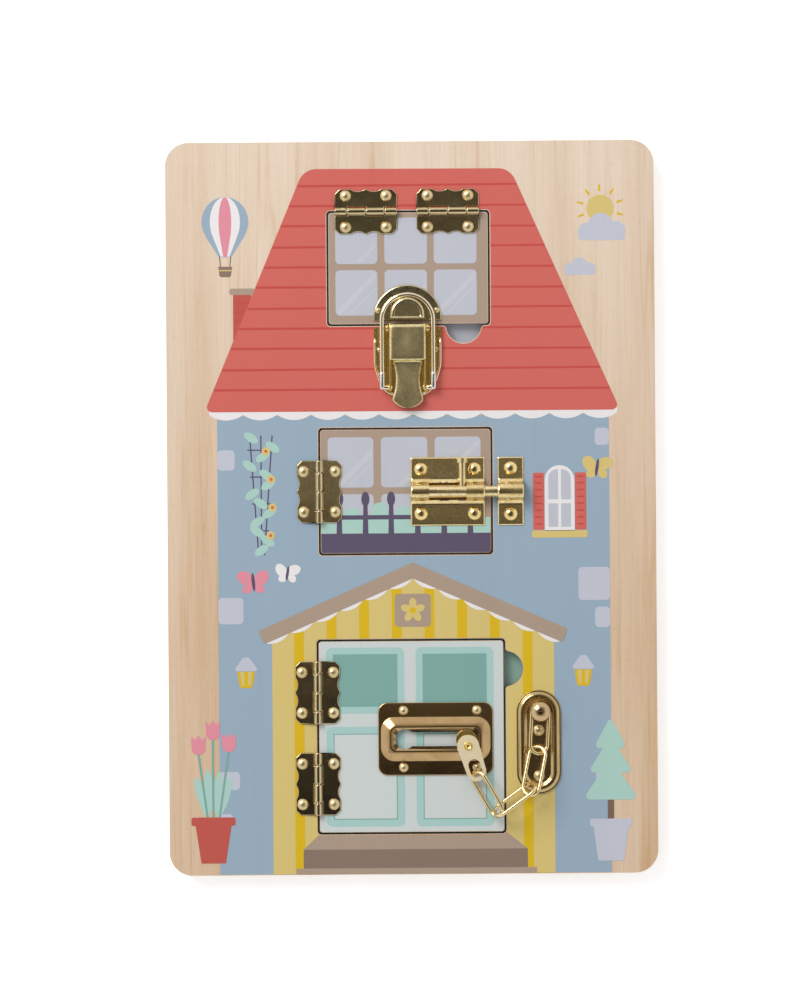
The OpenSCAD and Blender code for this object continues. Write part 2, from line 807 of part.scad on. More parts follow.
module bolt_plate() {
    guide_y = rod_bore_r + guide_t / 2 + guide_gap;
    color("goldenrod")
        translate([0, bolt_y, face_z])
            difference() {
                union() {
                    translate([bolt_left_x, -bolt_plate_h / 2, 0])
                        cube([bolt_plate_w, bolt_plate_h, plate_t]);
                    bolt_strap(bolt_left_x, strap_w, strap_r);
                    bolt_strap(bolt_right_x - strap_w, strap_w, strap_r);
                    strap_foot(bolt_left_x, bolt_plate_w);
                    for (side = [-1, 1], x = guide_x)
                        translate([x, side * guide_y - guide_t / 2, 0])
                            cube([guide_len, guide_t, plate_t + guide_h]);
                }
                rod_along_x(rod_bore_r, bolt_left_x - over, bolt_right_x + over, 0, bolt_z);
                nail_holes([for (p = bolt_plate_nail_points) [p.x, p.y - bolt_y]],
                    -over, plate_t + over);
            }
}

module bolt_rod() {
    color("gold")
        translate([0, bolt_y, face_z])
            rod_along_x(rod_r, rod_left_x, rod_left_x + rod_len, 0, bolt_z);
}

// The handle lies over toward the roof. Its root is cut hollow to sit round the rod.
module bolt_handle() {
    color("gold")
        translate([handle_x, bolt_y, face_z + bolt_z])
            difference() {
                rotate([-90, 0, 0]) {
                    cylinder(r = handle_r, h = handle_len - handle_head_t + join);
                    translate([0, 0, handle_len - handle_head_t])
                        cylinder(r = handle_head_r, h = handle_head_t);
                }
                rod_along_x(rod_r + handle_root_gap, -handle_len, handle_len, 0, 0);
            }
}

module bolt_keeper() {
    color("goldenrod")
        translate([keeper_left_x, bolt_y, face_z])
            difference() {
                union() {
                    translate([0, -bolt_plate_h / 2, 0])
                        cube([keeper_w, bolt_plate_h, plate_t]);
                    bolt_strap(0, keeper_w, keeper_r);
                    strap_foot(0, keeper_w);
                }
                rod_along_x(keeper_bore_r, -over, keeper_w + over, 0, bolt_z);
                translate([-over, -keeper_bore_r, -over])
                    cube([keeper_w + 2 * over, 2 * keeper_bore_r, bolt_z + over]);
                nail_holes([for (p = keeper_nail_points) [p.x - keeper_left_x, p.y - bolt_y]],
                    -over, plate_t + over);
            }
}

module plate_nails(points, head_r) {
    color("khaki")
        translate([0, 0, face_z + plate_t])
            at_points(points) nail(head_r, nail_head_h, nail_depth + plate_t);
}

module bolt_plate_nails() { plate_nails(bolt_plate_nail_points, bolt_head_r); }
module bolt_keeper_nails() { plate_nails(keeper_nail_points, bolt_head_r); }

// ---- the chain lock on the front door ----

// The keyhole slot, with the slider's locked end at the right
module keyhole_slot() {
    translate([keyhole_x - track_mid_x, 0]) {
        circle(keyhole_r);
        translate([0, -slot_w / 2]) square([slider_travel + slot_end_play, slot_w]);
        translate([slider_travel + slot_end_play, 0]) circle(slot_w / 2);
    }
}

// A flange with a raised middle that is hollow underneath, where the stud's foot runs
module chain_track() {
    hollow_w = track_raised_w - 2 * track_wall;
    hollow_h = track_raised_h - 2 * track_wall;
    color("peru")
        translate([track_mid_x, track_mid_y, face_z])
            difference() {
                union() {
                    linear_extrude(plate_t) rounded_square(track_w, track_h, track_corner_r);
                    linear_extrude(track_raise - track_step_h)
                        rounded_square(track_raised_w, track_raised_h, track_raised_r);
                    linear_extrude(track_raise)
                        rounded_square(track_raised_w - 2 * track_step_in,
                            track_raised_h - 2 * track_step_in, track_raised_r - track_step_in);
                }
                translate([0, 0, -over])
                    linear_extrude(over + track_raise - track_wall)
                        rounded_square(hollow_w, hollow_h, track_raised_r - track_wall);
                translate([0, 0, -over])
                    linear_extrude(track_raise + 2 * over) keyhole_slot();
                nail_holes([for (p = track_nail_points) [p.x - track_mid_x, p.y - track_mid_y]],
                    -over, plate_t + over);
            }
}

module chain_slider_stud() {
    color("gold")
        translate([stud_x, stud_y, face_z]) {
            translate([0, 0, stud_foot_z]) cylinder(r = stud_foot_r, h = stud_foot_t);
            translate([0, 0, stud_foot_z])
                cylinder(r = stem_r, h = slider_z - rest_gap - stud_foot_z);
            difference() {
                union() {
                    cylinder(r = slider_rivet_r, h = slider_z + slider_t + join);
                    translate([0, 0, slider_z + slider_t + rest_gap])
                        cylinder(r = slider_rivet_head_r, h = slider_rivet_head_h);
                }
                translate([0, 0, slider_z + slider_t + dimple_z])
                    cylinder(r = dimple_r, h = slider_t);
                translate([0, 0, -over])
                    cylinder(r = slider_rivet_r + over, h = over + stud_foot_z);
            }
        }
}

// A flat plate: a disc on the stud, two cheeks and a bar that the first link hangs on
module chain_slider_plate() {
    end_x = slider_reach - slider_bar_half;
    cheek_slope = asin((slider_end_r - slider_bar_half) / end_x);
    color("khaki")
        translate([stud_x, stud_y, face_z + slider_z])
            rotate(slider_turn)
                linear_extrude(slider_t)
                    difference() {
                        union() {
                            circle(slider_end_r);
                            translate([end_x, 0]) circle(slider_bar_half);
                            polygon([
                                for (side = [-1, 1], far = side > 0 ? [1, 0] : [0, 1])
                                    let (r = far > 0 ? slider_bar_half : slider_end_r)
                                        [far * end_x + r * sin(cheek_slope),
                                            side * r * cos(cheek_slope)]
                            ]);
                        }
                        circle(slider_rivet_r + run_fit);
                        translate([(slider_window_start + end_x + slider_eye_half) / 2, 0])
                            stadium(end_x + slider_eye_half - slider_window_start,
                                slider_eye_half);
                    }
}

// A link of wire that lies on the line from one meeting point to the next
module chain_link(i) {
    from = chain_stops[i + 1];
    to = chain_stops[i];
    run = norm([from.x - to.x, from.y - to.y]);
    heading = atan2(to.y - from.y, to.x - from.x);
    climb = atan2(to.z - from.z, run);
    middle = (from + to) / 2 + [0, 0, face_z];
    translate(middle)
        rotate([0, 0, heading])
            rotate([0, -climb, 0])
                rotate([link_roll[i - 1], 0, 0])
                    translate([link_shift[i - 1], 0, 0])
                        for (side = [-1, 1]) {
                            translate([side * link_straight / 2, 0, 0])
                                rotate(side > 0 ? -90 : 90)
                                    rotate_extrude(angle = 180)
                                        translate([link_bow_r, 0]) circle(chain_wire_r);
                            rod_along_x(chain_wire_r, -link_straight / 2, link_straight / 2,
                                side * link_bow_r, 0);
                        }
}

module chain_link_1() { color("wheat") chain_link(1); }
module chain_link_2() { color("wheat") chain_link(2); }
module chain_link_3() { color("wheat") chain_link(3); }
module chain_link_4() { color("wheat") chain_link(4); }

module chain_anchor_plate() {
    color("peru")
        translate([anchor_mid_x, anchor_mid_y, face_z])
            difference() {
                union() {
                    linear_extrude(plate_t) rotate(90) stadium(anchor_len, anchor_half);
                    linear_extrude(anchor_rim_h)
                        difference() {
                            rotate(90)
                                stadium(anchor_len - 2 * (anchor_half - anchor_rim_out),
                                    anchor_rim_out);
                            rotate(90)
                                stadium(anchor_len - 2 * (anchor_half - anchor_rim_in),
                                    anchor_rim_in);
                        }
                }
                nail_holes([for (p = anchor_nail_points) [p.x - anchor_mid_x, p.y - anchor_mid_y]],
                    -over, plate_t + over);
                translate([knob_x - anchor_mid_x, knob_y - anchor_mid_y, -over])
                    cylinder(r = knob_neck_r + nail_fit, h = plate_t + 2 * over);
            }
}

// The knob is riveted through the plate. The last link turns on its neck.
module chain_anchor_knob() {
    dome_h = knob_top - knob_neck_top - knob_rim_t;
    dome_r = (knob_r * knob_r + dome_h * dome_h) / (2 * dome_h);
    color("gold")
        translate([knob_x, knob_y, face_z]) {
            cylinder(r = knob_neck_r, h = knob_neck_top + join);
            translate([0, 0, knob_neck_top]) cylinder(r = knob_r, h = knob_rim_t);
            translate([0, 0, knob_neck_top + knob_rim_t])
                rotate_extrude()
                    intersection() {
                        translate([0, dome_h - dome_r]) circle(dome_r);
                        square([knob_r, dome_h]);
                    }
        }
}

module chain_track_nails() { plate_nails(track_nail_points, track_head_r); }
module chain_anchor_nails() { plate_nails(anchor_nail_points, nail_head_r); }

back_panel();
front_panel();
attic_window();
balcony_window();
front_door();
attic_hinge_left_board_leaf();
attic_hinge_left_window_leaf();
attic_hinge_left_pin();
attic_hinge_right_board_leaf();
attic_hinge_right_window_leaf();
attic_hinge_right_pin();
balcony_hinge_board_leaf();
balcony_hinge_window_leaf();
balcony_hinge_pin();
door_hinge_upper_board_leaf();
door_hinge_upper_door_leaf();
door_hinge_upper_pin();
door_hinge_lower_board_leaf();
door_hinge_lower_door_leaf();
door_hinge_lower_pin();
attic_hinge_board_nails();
attic_hinge_window_nails();
balcony_hinge_board_nails();
balcony_hinge_window_nails();
door_hinge_board_nails();
door_hinge_door_nails();
toggle_base();
toggle_lever();
toggle_lever_rivet();
toggle_loop();
toggle_catch();
toggle_base_nails();
toggle_catch_nails();
bolt_plate();
bolt_rod();
bolt_handle();
bolt_keeper();
bolt_plate_nails();
bolt_keeper_nails();
chain_track();
chain_slider_stud();
chain_slider_plate();
chain_link_1();
chain_link_2();
chain_link_3();
chain_link_4();
chain_anchor_plate();
chain_anchor_knob();
chain_track_nails();
chain_anchor_nails();
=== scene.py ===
import json
import math

import bmesh
import bpy
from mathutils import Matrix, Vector

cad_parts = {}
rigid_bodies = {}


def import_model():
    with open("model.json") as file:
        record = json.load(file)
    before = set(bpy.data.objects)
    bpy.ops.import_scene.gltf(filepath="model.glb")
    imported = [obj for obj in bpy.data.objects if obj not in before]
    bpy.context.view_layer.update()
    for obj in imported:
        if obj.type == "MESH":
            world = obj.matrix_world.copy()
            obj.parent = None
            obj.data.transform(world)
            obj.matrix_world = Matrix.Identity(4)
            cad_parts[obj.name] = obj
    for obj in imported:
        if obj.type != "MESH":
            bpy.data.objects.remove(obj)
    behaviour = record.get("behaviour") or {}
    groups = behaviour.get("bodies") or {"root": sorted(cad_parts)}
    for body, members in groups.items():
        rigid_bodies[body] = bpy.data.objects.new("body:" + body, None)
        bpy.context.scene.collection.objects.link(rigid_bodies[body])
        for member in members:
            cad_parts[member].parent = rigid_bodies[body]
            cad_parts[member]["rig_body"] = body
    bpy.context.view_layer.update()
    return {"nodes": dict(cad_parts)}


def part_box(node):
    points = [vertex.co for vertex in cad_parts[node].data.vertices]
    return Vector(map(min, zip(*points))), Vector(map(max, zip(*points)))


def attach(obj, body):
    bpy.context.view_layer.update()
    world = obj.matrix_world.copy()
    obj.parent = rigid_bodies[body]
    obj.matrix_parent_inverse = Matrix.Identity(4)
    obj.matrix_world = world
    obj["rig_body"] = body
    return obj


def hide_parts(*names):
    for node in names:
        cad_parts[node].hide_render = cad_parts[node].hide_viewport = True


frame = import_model()
MM = 0.001


# ---- table, light and camera ----
# The board lies on a plain white table under a white sky. One large soft lamp stands at the
# upper left, and the camera looks straight down on the printed face.

VIEW_HEIGHT = 0.4093
CAMERA_RISE = 2.0
CAMERA_AIM = (-4.73, 3.21)
CAMERA_ROLL = -0.41
SENSOR = 24.0


def new_material(name, **sockets):
    """A material with one Principled shader, whose plain values are set by socket name."""
    material = bpy.data.materials.new(name)
    material.use_nodes = True
    shader = material.node_tree.nodes["Principled BSDF"]
    for socket, value in sockets.items():
        shader.inputs[socket.replace("_", " ")].default_value = value
    return material, material.node_tree, shader


def flat_plate(name, size, place, material):
    """A thin square sheet that lies level and is no part of the object."""
    half = size / 2
    mesh = bpy.data.meshes.new(name)
    mesh.from_pydata([(-half, -half, 0), (half, -half, 0), (half, half, 0), (-half, half, 0)],
                     [], [(0, 1, 2, 3)])
    mesh.materials.append(material)
    plate = bpy.data.objects.new(name, mesh)
    bpy.context.scene.collection.objects.link(plate)
    plate.location = place
    return plate


face_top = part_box("front_panel")[1].z

camera_data = bpy.data.cameras.new("camera")
camera_data.sensor_fit = "VERTICAL"
camera_data.sensor_height = SENSOR
camera_data.lens = SENSOR * CAMERA_RISE / VIEW_HEIGHT
camera = bpy.data.objects.new("camera", camera_data)
camera.location = (CAMERA_AIM[0] * MM, CAMERA_AIM[1] * MM, face_top + CAMERA_RISE)
camera.rotation_euler = (0, 0, math.radians(CAMERA_ROLL))
bpy.context.scene.collection.objects.link(camera)
bpy.context.scene.camera = camera
bpy.context.scene.view_settings.view_transform = "Standard"


def node_of(tree, kind, links=(), **settings):
    """One shader node, with its inputs linked or set by name or number."""
    node = tree.nodes.new(kind)
    for key, value in settings.items():
        setattr(node, key, value)
    for socket, value in dict(links).items():
        if isinstance(value, bpy.types.NodeSocket):
            tree.links.new(value, node.inputs[socket])
        else:
            node.inputs[socket].default_value = value
    return node


def calc(operation, first, second=0.0, clamp=False):
    """What a math node makes of a socket's value and a second value or socket."""
    return node_of(first.id_data, "ShaderNodeMath", {0: first, 1: second},
                   operation=operation, use_clamp=clamp).outputs[0]


def spread(value, low, high, to_low=0.0, to_high=1.0, curve="LINEAR"):
    """The socket's value taken from low..high to to_low..to_high, and held there outside."""
    return node_of(value.id_data, "ShaderNodeMapRange", {
        "Value": value, "From Min": low, "From Max": high, "To Min": to_low,
        "To Max": to_high}, interpolation_type=curve).outputs["Result"]


def mixed(factor, first, second):
    """The first colour where the factor is 0 and the second where it is 1."""
    return node_of(factor.id_data, "ShaderNodeMix", {0: factor, 6: first, 7: second},
                   data_type="RGBA").outputs[2]


def seen_share(tree):
    """1 for rays from the camera, a mirror or a glass, and 0 for rays that only light things."""
    path = tree.nodes.new("ShaderNodeLightPath")
    seen = path.outputs["Is Camera Ray"]
    for ray in ("Is Glossy Ray", "Is Transmission Ray"):
        seen = calc("MAXIMUM", seen, path.outputs[ray])
    return seen


TABLE_WHITE = 0.84
TABLE_GLOW = 0.5
TABLE_SIZE = 8
TABLE_DROP = 0.0002
table_material, tree, shader = new_material(
    "white_table", Base_Color=(TABLE_WHITE,) * 3 + (1,), Roughness=0.9,
    Emission_Color=(1, 1, 1, 1))
tree.links.new(calc("MULTIPLY", seen_share(tree), TABLE_GLOW),
               shader.inputs["Emission Strength"])
flat_plate("table", TABLE_SIZE, (0, 0, -TABLE_DROP), table_material)

SKY_LIGHT = 0.60
world = bpy.data.worlds.new("sky")
world.use_nodes = True
bpy.context.scene.world = world
background = world.node_tree.nodes["Background"]
background.inputs["Color"].default_value = (1, 1, 1, 1)
world.node_tree.links.new(spread(seen_share(world.node_tree), 0.0, 1.0, SKY_LIGHT, 1.0),
                          background.inputs["Strength"])

KEY_POWER = 39.0
KEY_SIZE = 1.3
key_data = bpy.data.lights.new("key_lamp", "AREA")
key_data.shape = "RECTANGLE"
key_data.size = KEY_SIZE
key_data.size_y = KEY_SIZE
key_data.energy = KEY_POWER
key_lamp = bpy.data.objects.new("key_lamp", key_data)
key_lamp.location = (-1.25, 1.35, 1.7)
key_lamp.rotation_euler = (-key_lamp.location).to_track_quat("-Z", "Y").to_euler()
bpy.context.scene.collection.objects.link(key_lamp)

# The dim ceiling, which only polished metal shows: dark patches with a lighter band over the
# middle of the board, and lighter again outward, as far as the room's white walls.
CEILING_SIZE = 4.6
CEILING_HIGH = 2.3
CEILING_PATCHES = 15.0
CEILING_ENDS = ((0.005, 0.0035, 0.002, 1), (0.030, 0.026, 0.018, 1))
CEILING_TONES = ((0.25, (0.010, 0.007, 0.005, 1)), (0.42, (0.12, 0.10, 0.07, 1)),
                 (0.55, (0.32, 0.28, 0.21, 1)), (0.68, (0.17, 0.15, 0.11, 1)),
                 (0.85, (0.040, 0.034, 0.024, 1)))
CEILING_WALL_TONE = (0.62, 0.57, 0.49, 1)
ceiling_material, tree, shader = new_material(
    "dim_ceiling", Base_Color=(0.01, 0.01, 0.01, 1), Roughness=1.0, Emission_Strength=1.0)
place = node_of(tree, "ShaderNodeTexCoord").outputs["Object"]
patches = node_of(tree, "ShaderNodeTexNoise", {
    "Vector": place, "Scale": CEILING_PATCHES, "Detail": 3.0}).outputs["Fac"]
forward = node_of(tree, "ShaderNodeSeparateXYZ", {0: place}).outputs["Y"]
tones = node_of(tree, "ShaderNodeValToRGB", {
    "Fac": spread(calc("ADD", patches, forward), 0.1, 0.9)})
for stop, colour in zip(tones.color_ramp.elements, CEILING_ENDS):
    stop.color = colour
for position, colour in CEILING_TONES:
    tones.color_ramp.elements.new(position).color = colour
reach = node_of(tree, "ShaderNodeVectorMath", {0: place}, operation="LENGTH").outputs["Value"]
ceiling_light = mixed(spread(reach, 0.85, 2.2, curve="SMOOTHSTEP"),
                      tones.outputs["Color"], CEILING_WALL_TONE)
tree.links.new(ceiling_light, shader.inputs["Emission Color"])
ceiling = flat_plate("ceiling", CEILING_SIZE, (0, 0, CEILING_HIGH), ceiling_material)
ceiling.visible_camera = False
ceiling.visible_diffuse = False
ceiling.visible_shadow = False


# ---- plywood board and leaves ----
# The board is two layers of maple-faced plywood glued together. The three leaves are sawn out
# of the front layer with a laser, which chars the sawn edges dark brown.

WHITE, BLACK = (1, 1, 1, 1), (0, 0, 0, 1)


def group_tree(name, *outputs, **inputs):
    """A shader node group; an input is a colour or a number, as the value given for it is."""
    tree = bpy.data.node_groups.new(name, "ShaderNodeTree")
    for label, default in inputs.items():
        kind = "NodeSocketColor" if isinstance(default, tuple) else "NodeSocketFloat"
        socket = tree.interface.new_socket(label, in_out="INPUT", socket_type=kind)
        socket.default_value = default
    for label in outputs:
        kind = "NodeSocketColor" if label == "Color" else "NodeSocketFloat"
        tree.interface.new_socket(label, in_out="OUTPUT", socket_type=kind)
    return tree, tree.nodes.new("NodeGroupInput"), tree.nodes.new("NodeGroupOutput")


def place_group(tree, group, **values):
    """A node of the group, with its plain values set by socket name."""
    node = tree.nodes.new("ShaderNodeGroup")
    node.node_tree = group
    for label, value in values.items():
        node.inputs[label.replace("_", " ")].default_value = value
    return node


def stretched_noise(coordinates, scale, detail=3.0, roughness=0.5):
    """Noise whose cells have their own size along each axis, in cells per metre."""
    tree = coordinates.id_data
    mapping = node_of(tree, "ShaderNodeMapping", {"Vector": coordinates, "Scale": scale})
    return node_of(tree, "ShaderNodeTexNoise", {
        "Vector": mapping.outputs[0], "Scale": 1.0, "Detail": detail,
        "Roughness": roughness}).outputs["Fac"]


def paint(red, green, blue):
    """A colour given as 0 to 255 per channel, as the linear values that a shader takes."""
    def linear(channel):
        share = channel / 255
        return share / 12.92 if share <= 0.04045 else ((share + 0.055) / 1.055) ** 2.4
    return (linear(red), linear(green), linear(blue), 1.0)


grain_group, grain_in, grain_out = group_tree(
    "maple_grain", "Color", "Height", Pale=WHITE, Dark=BLACK, Contrast=1.0)
place = node_of(grain_group, "ShaderNodeTexCoord").outputs["Object"]
broad = stretched_noise(place, (55, 3, 3), 2.0)
growth = stretched_noise(place, (95, 2.6, 2.6), 2.0, 0.45)
fading = stretched_noise(place, (60, 22, 22), 2.0)
fibres = stretched_noise(place, (1300, 26, 26), 3.0, 0.6)
pores = stretched_noise(place, (3400, 210, 210), 1.0)
flecks = stretched_noise(place, (260, 900, 260), 2.0)
# A growth line shows wherever the slow noise passes its middle value
off_line = calc("ABSOLUTE", calc("SUBTRACT", growth, 0.5))
line = calc("MULTIPLY", spread(off_line, 0.0, 0.022, 1.0, 0.0),
            spread(fading, 0.4, 0.62, 0.04, 0.26))
along = node_of(grain_group, "ShaderNodeSeparateXYZ", {0: place}).outputs["Y"]
tone = spread(broad, 0.32, 0.7, 0, 0.36)
for part in (line, spread(fibres, 0.3, 0.72, 0, 0.2), spread(flecks, 0.6, 0.75, 0, 0.07),
             spread(pores, 0.64, 0.74, 0, 0.18),
             # A little darker toward the foot of the board, in the wood and faintly in the inks over
             # it
             spread(along, -0.06, 0.14, 0.46, 0)):
    tone = calc("ADD", tone, part)
tone = calc("MULTIPLY", tone, grain_in.outputs["Contrast"], True)
grain_colour = mixed(tone, grain_in.outputs["Pale"], grain_in.outputs["Dark"])
grain_group.links.new(grain_colour, grain_out.inputs["Color"])
grain_group.links.new(calc("ADD", fibres, pores), grain_out.inputs["Height"])

# Char on the sawn edges and glue lines between the plies, over the plain wood
edge_group, edge_in, edge_out = group_tree(
    "sawn_edge", "Color", Wood=WHITE, Char=BLACK, Glue=BLACK, Plies=1000.0)
coordinates = node_of(edge_group, "ShaderNodeTexCoord").outputs
place = node_of(edge_group, "ShaderNodeSeparateXYZ", {0: coordinates["Object"]}).outputs
facing = node_of(edge_group, "ShaderNodeSeparateXYZ", {0: coordinates["Normal"]}).outputs
is_edge = spread(calc("ABSOLUTE", facing["Z"]), 0.55, 0.35)
# The board's own four sides are sanded clean, so only edges inside them are charred
charred = is_edge
for axis, half in (("X", 0.0965), ("Y", 0.1465)):
    inside = spread(calc("ABSOLUTE", place[axis]), half, half - 0.0005)
    charred = calc("MULTIPLY", charred, inside)
soot = stretched_noise(coordinates["Object"], (700, 700, 160), 3.0)
char_colour = mixed(spread(soot, 0.35, 0.7, 0.55, 1.0),
                    edge_in.outputs["Wood"], edge_in.outputs["Char"])
ply_share = calc("PINGPONG", calc("MULTIPLY", place["Z"], edge_in.outputs["Plies"]), 1.0)
glued = calc("MULTIPLY", spread(ply_share, 0.09, 0.04), is_edge)
ply_colour = mixed(glued, edge_in.outputs["Wood"], edge_in.outputs["Glue"])
edge_group.links.new(mixed(charred, ply_colour, char_colour), edge_out.inputs["Color"])


def link_bump(tree, shader, height, strength, distance):
    bump = node_of(tree, "ShaderNodeBump", {
        "Height": height, "Strength": strength, "Distance": distance})
    tree.links.new(bump.outputs["Normal"], shader.inputs["Normal"])


PLY_THICKNESS = 1.25
maple, tree, shader = new_material("maple_plywood", Roughness=0.5, Specular_IOR_Level=0.35)
grain = place_group(tree, grain_group, Pale=paint(236, 219, 201), Dark=paint(192, 149, 96),
                    Contrast=0.85)
edge = place_group(tree, edge_group, Char=paint(58, 36, 24), Glue=paint(120, 88, 58),
                   Plies=1000 / PLY_THICKNESS)
tree.links.new(grain.outputs["Color"], edge.inputs["Wood"])
tree.links.new(edge.outputs["Color"], shader.inputs["Base Color"])
link_bump(tree, shader, grain.outputs["Height"], 0.12, 0.00012)


def body_name(node):
    return frame["nodes"][node]["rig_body"]


FACET_ANGLE = 0.6


def cad_mesh(node):
    """The node's solid as an edit mesh, with its flat faces whole again."""
    bm = bmesh.new()
    bm.from_mesh(frame["nodes"][node].data)
    bmesh.ops.remove_doubles(bm, verts=bm.verts, dist=0.000002)
    bmesh.ops.dissolve_limit(bm, angle_limit=math.radians(FACET_ANGLE), verts=bm.verts,
                             edges=bm.edges)
    return bm


def loose_object(name, bm):
    """The edit mesh as an object that is not yet a piece of the board."""
    mesh = bpy.data.meshes.new(name)
    bm.to_mesh(mesh)
    bm.free()
    thing = bpy.data.objects.new(name, mesh)
    bpy.context.scene.collection.objects.link(thing)
    return thing


def finished(piece_name, bm, body, material, replaced=()):
    """Makes the edit mesh a piece of the object on its body, and hides the parts it stands in for.
    """
    piece = loose_object(piece_name, bm)
    piece.data.materials.append(material)
    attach(piece, body)
    if replaced:
        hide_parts(*replaced)
    return piece


def soften(piece, width, segments=3, corner_degrees=32, clamp=True):
    """Rounds the piece's sharp edges, as a tumbled or sanded edge is."""
    for polygon in piece.data.polygons:
        polygon.use_smooth = True
    bevel = piece.modifiers.new("soft_edges", "BEVEL")
    bevel.width = width * MM
    bevel.segments = segments
    bevel.use_clamp_overlap = clamp
    bevel.limit_method = "ANGLE"
    bevel.angle_limit = math.radians(corner_degrees)
    weigh = piece.modifiers.new("flat_faces_stay_flat", "WEIGHTED_NORMAL")
    weigh.mode = "FACE_AREA"
    weigh.weight = 100
    return piece


WOOD_SLOTS = {"back_panel": "plain_ply", "front_panel": "printed_board",
              "attic_window": "printed_attic_window",
              "balcony_window": "printed_balcony_window", "front_door": "printed_door"}
SANDED_EDGE = 0.25
for node, slot_name in WOOD_SLOTS.items():
    panel = finished(node + "_wood", cad_mesh(node), body_name(node), maple, [node])
    soften(panel, SANDED_EDGE)


# ---- print on the board ----
# The house is silk-screened on the bare wood in flat matt inks, one colour at a time. Each ink
# lies as a very thin layer on those below it and stops just short of the sawn edges.

INK_STEP = 0.025
INK_MARGIN = 0.32
# Shorter outlines than this are nail holes, which are printed over
OPENING_ROUND = 100


def top_outlines(node):
    """The closed outlines of a panel's upper face in millimetres, the longest first."""
    bm = cad_mesh(node)
    top = max(v.co.z for v in bm.verts)
    upper = {face for face in bm.faces
             if face.normal.z > 0.99 and abs(face.calc_center_median().z - top) < 1e-5}
    steps = {}
    for face in upper:
        for loop in face.loops:
            if not upper.intersection(loop.edge.link_faces) - {face}:
                steps[loop.vert.index] = loop.link_loop_next.vert.index
    places = {v.index: (v.co.x / MM, v.co.y / MM) for v in bm.verts}
    outlines = []
    while steps:
        start, following = steps.popitem()
        outline = [places[start]]
        while following != start:
            outline.append(places[following])
            following = steps.pop(following)
        outlines.append(outline)
    bm.free()
    return sorted(outlines, key=len_around, reverse=True), top / MM


def len_around(outline):
    return sum(math.dist(a, b) for a, b in zip(outline, outline[1:] + outline[:1]))


def drawn_in(outline, distance):
    """The outline moved to its left by distance, which is inward for a face's outer edge."""
    moved = []
    count = len(outline)
    for i, corner in enumerate(outline):
        before, after = Vector(outline[i - 1]), Vector(outline[(i + 1) % count])
        here = Vector(corner)
        into = (here - before).normalized()
        out = (after - here).normalized()
        left = Vector((-into.y - out.y, into.x + out.x))
        share = max(0.3, (1 + into.dot(out)) / 2)
        moved.append(tuple(here + left.normalized() * distance / math.sqrt(share)))
    return moved


def prism(outlines, low, high):
    """Closed outlines in millimetres, raised from one height to another."""
    bm = bmesh.new()
    for outline in outlines:
        floor = [bm.verts.new((x * MM, y * MM, low * MM)) for x, y in outline]
        lid = [bm.verts.new((x * MM, y * MM, high * MM)) for x, y in outline]
        bm.faces.new(list(reversed(floor)))
        bm.faces.new(lid)
        for i in range(len(floor)):
            j = (i + 1) % len(floor)
            bm.faces.new((floor[i], floor[j], lid[j], lid[i]))
    bmesh.ops.recalc_face_normals(bm, faces=bm.faces)
    return bm


def printable(node, margin=INK_MARGIN):
    """Where ink may lie on a panel: what it must stay inside, and the openings it must leave."""
    outlines, top = top_outlines(node)
    outer, *holes = [drawn_in(o, margin) for o in outlines if len_around(o) > OPENING_ROUND]
    area = {"level": top, "body": body_name(node), "slot": WOOD_SLOTS[node],
            "inside": loose_object(node + "_print_area", prism([outer], top - 1, top + 1)),
            "openings": None}
    if holes:
        area["openings"] = loose_object(node + "_print_gaps", prism(holes, top - 2, top + 2))
    return area


board_area = printable("front_panel")


def ink_material(name, colour):
    """Matt ink over wood, with the fibres faintly in its tone and its surface."""
    material, tree, shader = new_material(name, Roughness=0.55, Specular_IOR_Level=0.3)
    darker = tuple(channel * 0.84 for channel in colour[:3]) + (1.0,)
    grain = place_group(tree, grain_group, Pale=colour, Dark=darker, Contrast=0.4)
    tree.links.new(grain.outputs["Color"], shader.inputs["Base Color"])
    link_bump(tree, shader, grain.outputs["Height"], 0.08, 0.0001)
    return material


def print_ink(name, ink, shapes, level, area=board_area):
    """Prints closed shapes in one ink, cut off where the panel's print area ends."""
    bm = prism(shapes, area["level"] - INK_STEP / 2, area["level"] + level * INK_STEP)
    piece = loose_object(name, bm)
    keep = piece.modifiers.new("keep", "BOOLEAN")
    keep.operation = "INTERSECT"
    keep.object = area["inside"]
    keep.use_self = True
    if area["openings"] is not None:
        leave = piece.modifiers.new("leave", "BOOLEAN")
        leave.operation = "DIFFERENCE"
        leave.object = area["openings"]
    cut = bpy.data.meshes.new_from_object(
        piece.evaluated_get(bpy.context.evaluated_depsgraph_get()))
    piece.modifiers.clear()
    piece.data = cut
    cut.materials.clear()
    cut.materials.append(INKS[ink])
    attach(piece, area["body"])


def arc(x, y, radius, start, end, steps):
    """Points along an arc about (x, y), from one angle to another in degrees."""
    angles = [math.radians(start + (end - start) * k / steps) for k in range(steps + 1)]
    return [(x + radius * math.cos(a), y + radius * math.sin(a)) for a in angles]


def rounded(corners, radius, steps=6):
    """The outline through corners, each rounded by radius (one value, or one per corner)."""
    radii = radius if isinstance(radius, (list, tuple)) else [radius] * len(corners)
    outline = []
    for i, corner in enumerate(corners):
        here = Vector(corner)
        to_before = (Vector(corners[i - 1]) - here).normalized()
        to_after = (Vector(corners[(i + 1) % len(corners)]) - here).normalized()
        half = to_before.angle(to_after) / 2
        if radii[i] <= 0:
            outline.append(corner)
            continue
        reach = radii[i] / math.tan(half)
        centre = here + (to_before + to_after).normalized() * radii[i] / math.sin(half)
        first = here + to_before * reach - centre
        turn = first.angle_signed(here + to_after * reach - centre)
        for k in range(steps + 1):
            angle = -turn * k / steps
            outline.append((centre.x + first.x * math.cos(angle) - first.y * math.sin(angle),
                            centre.y + first.x * math.sin(angle) + first.y * math.cos(angle)))
    return outline


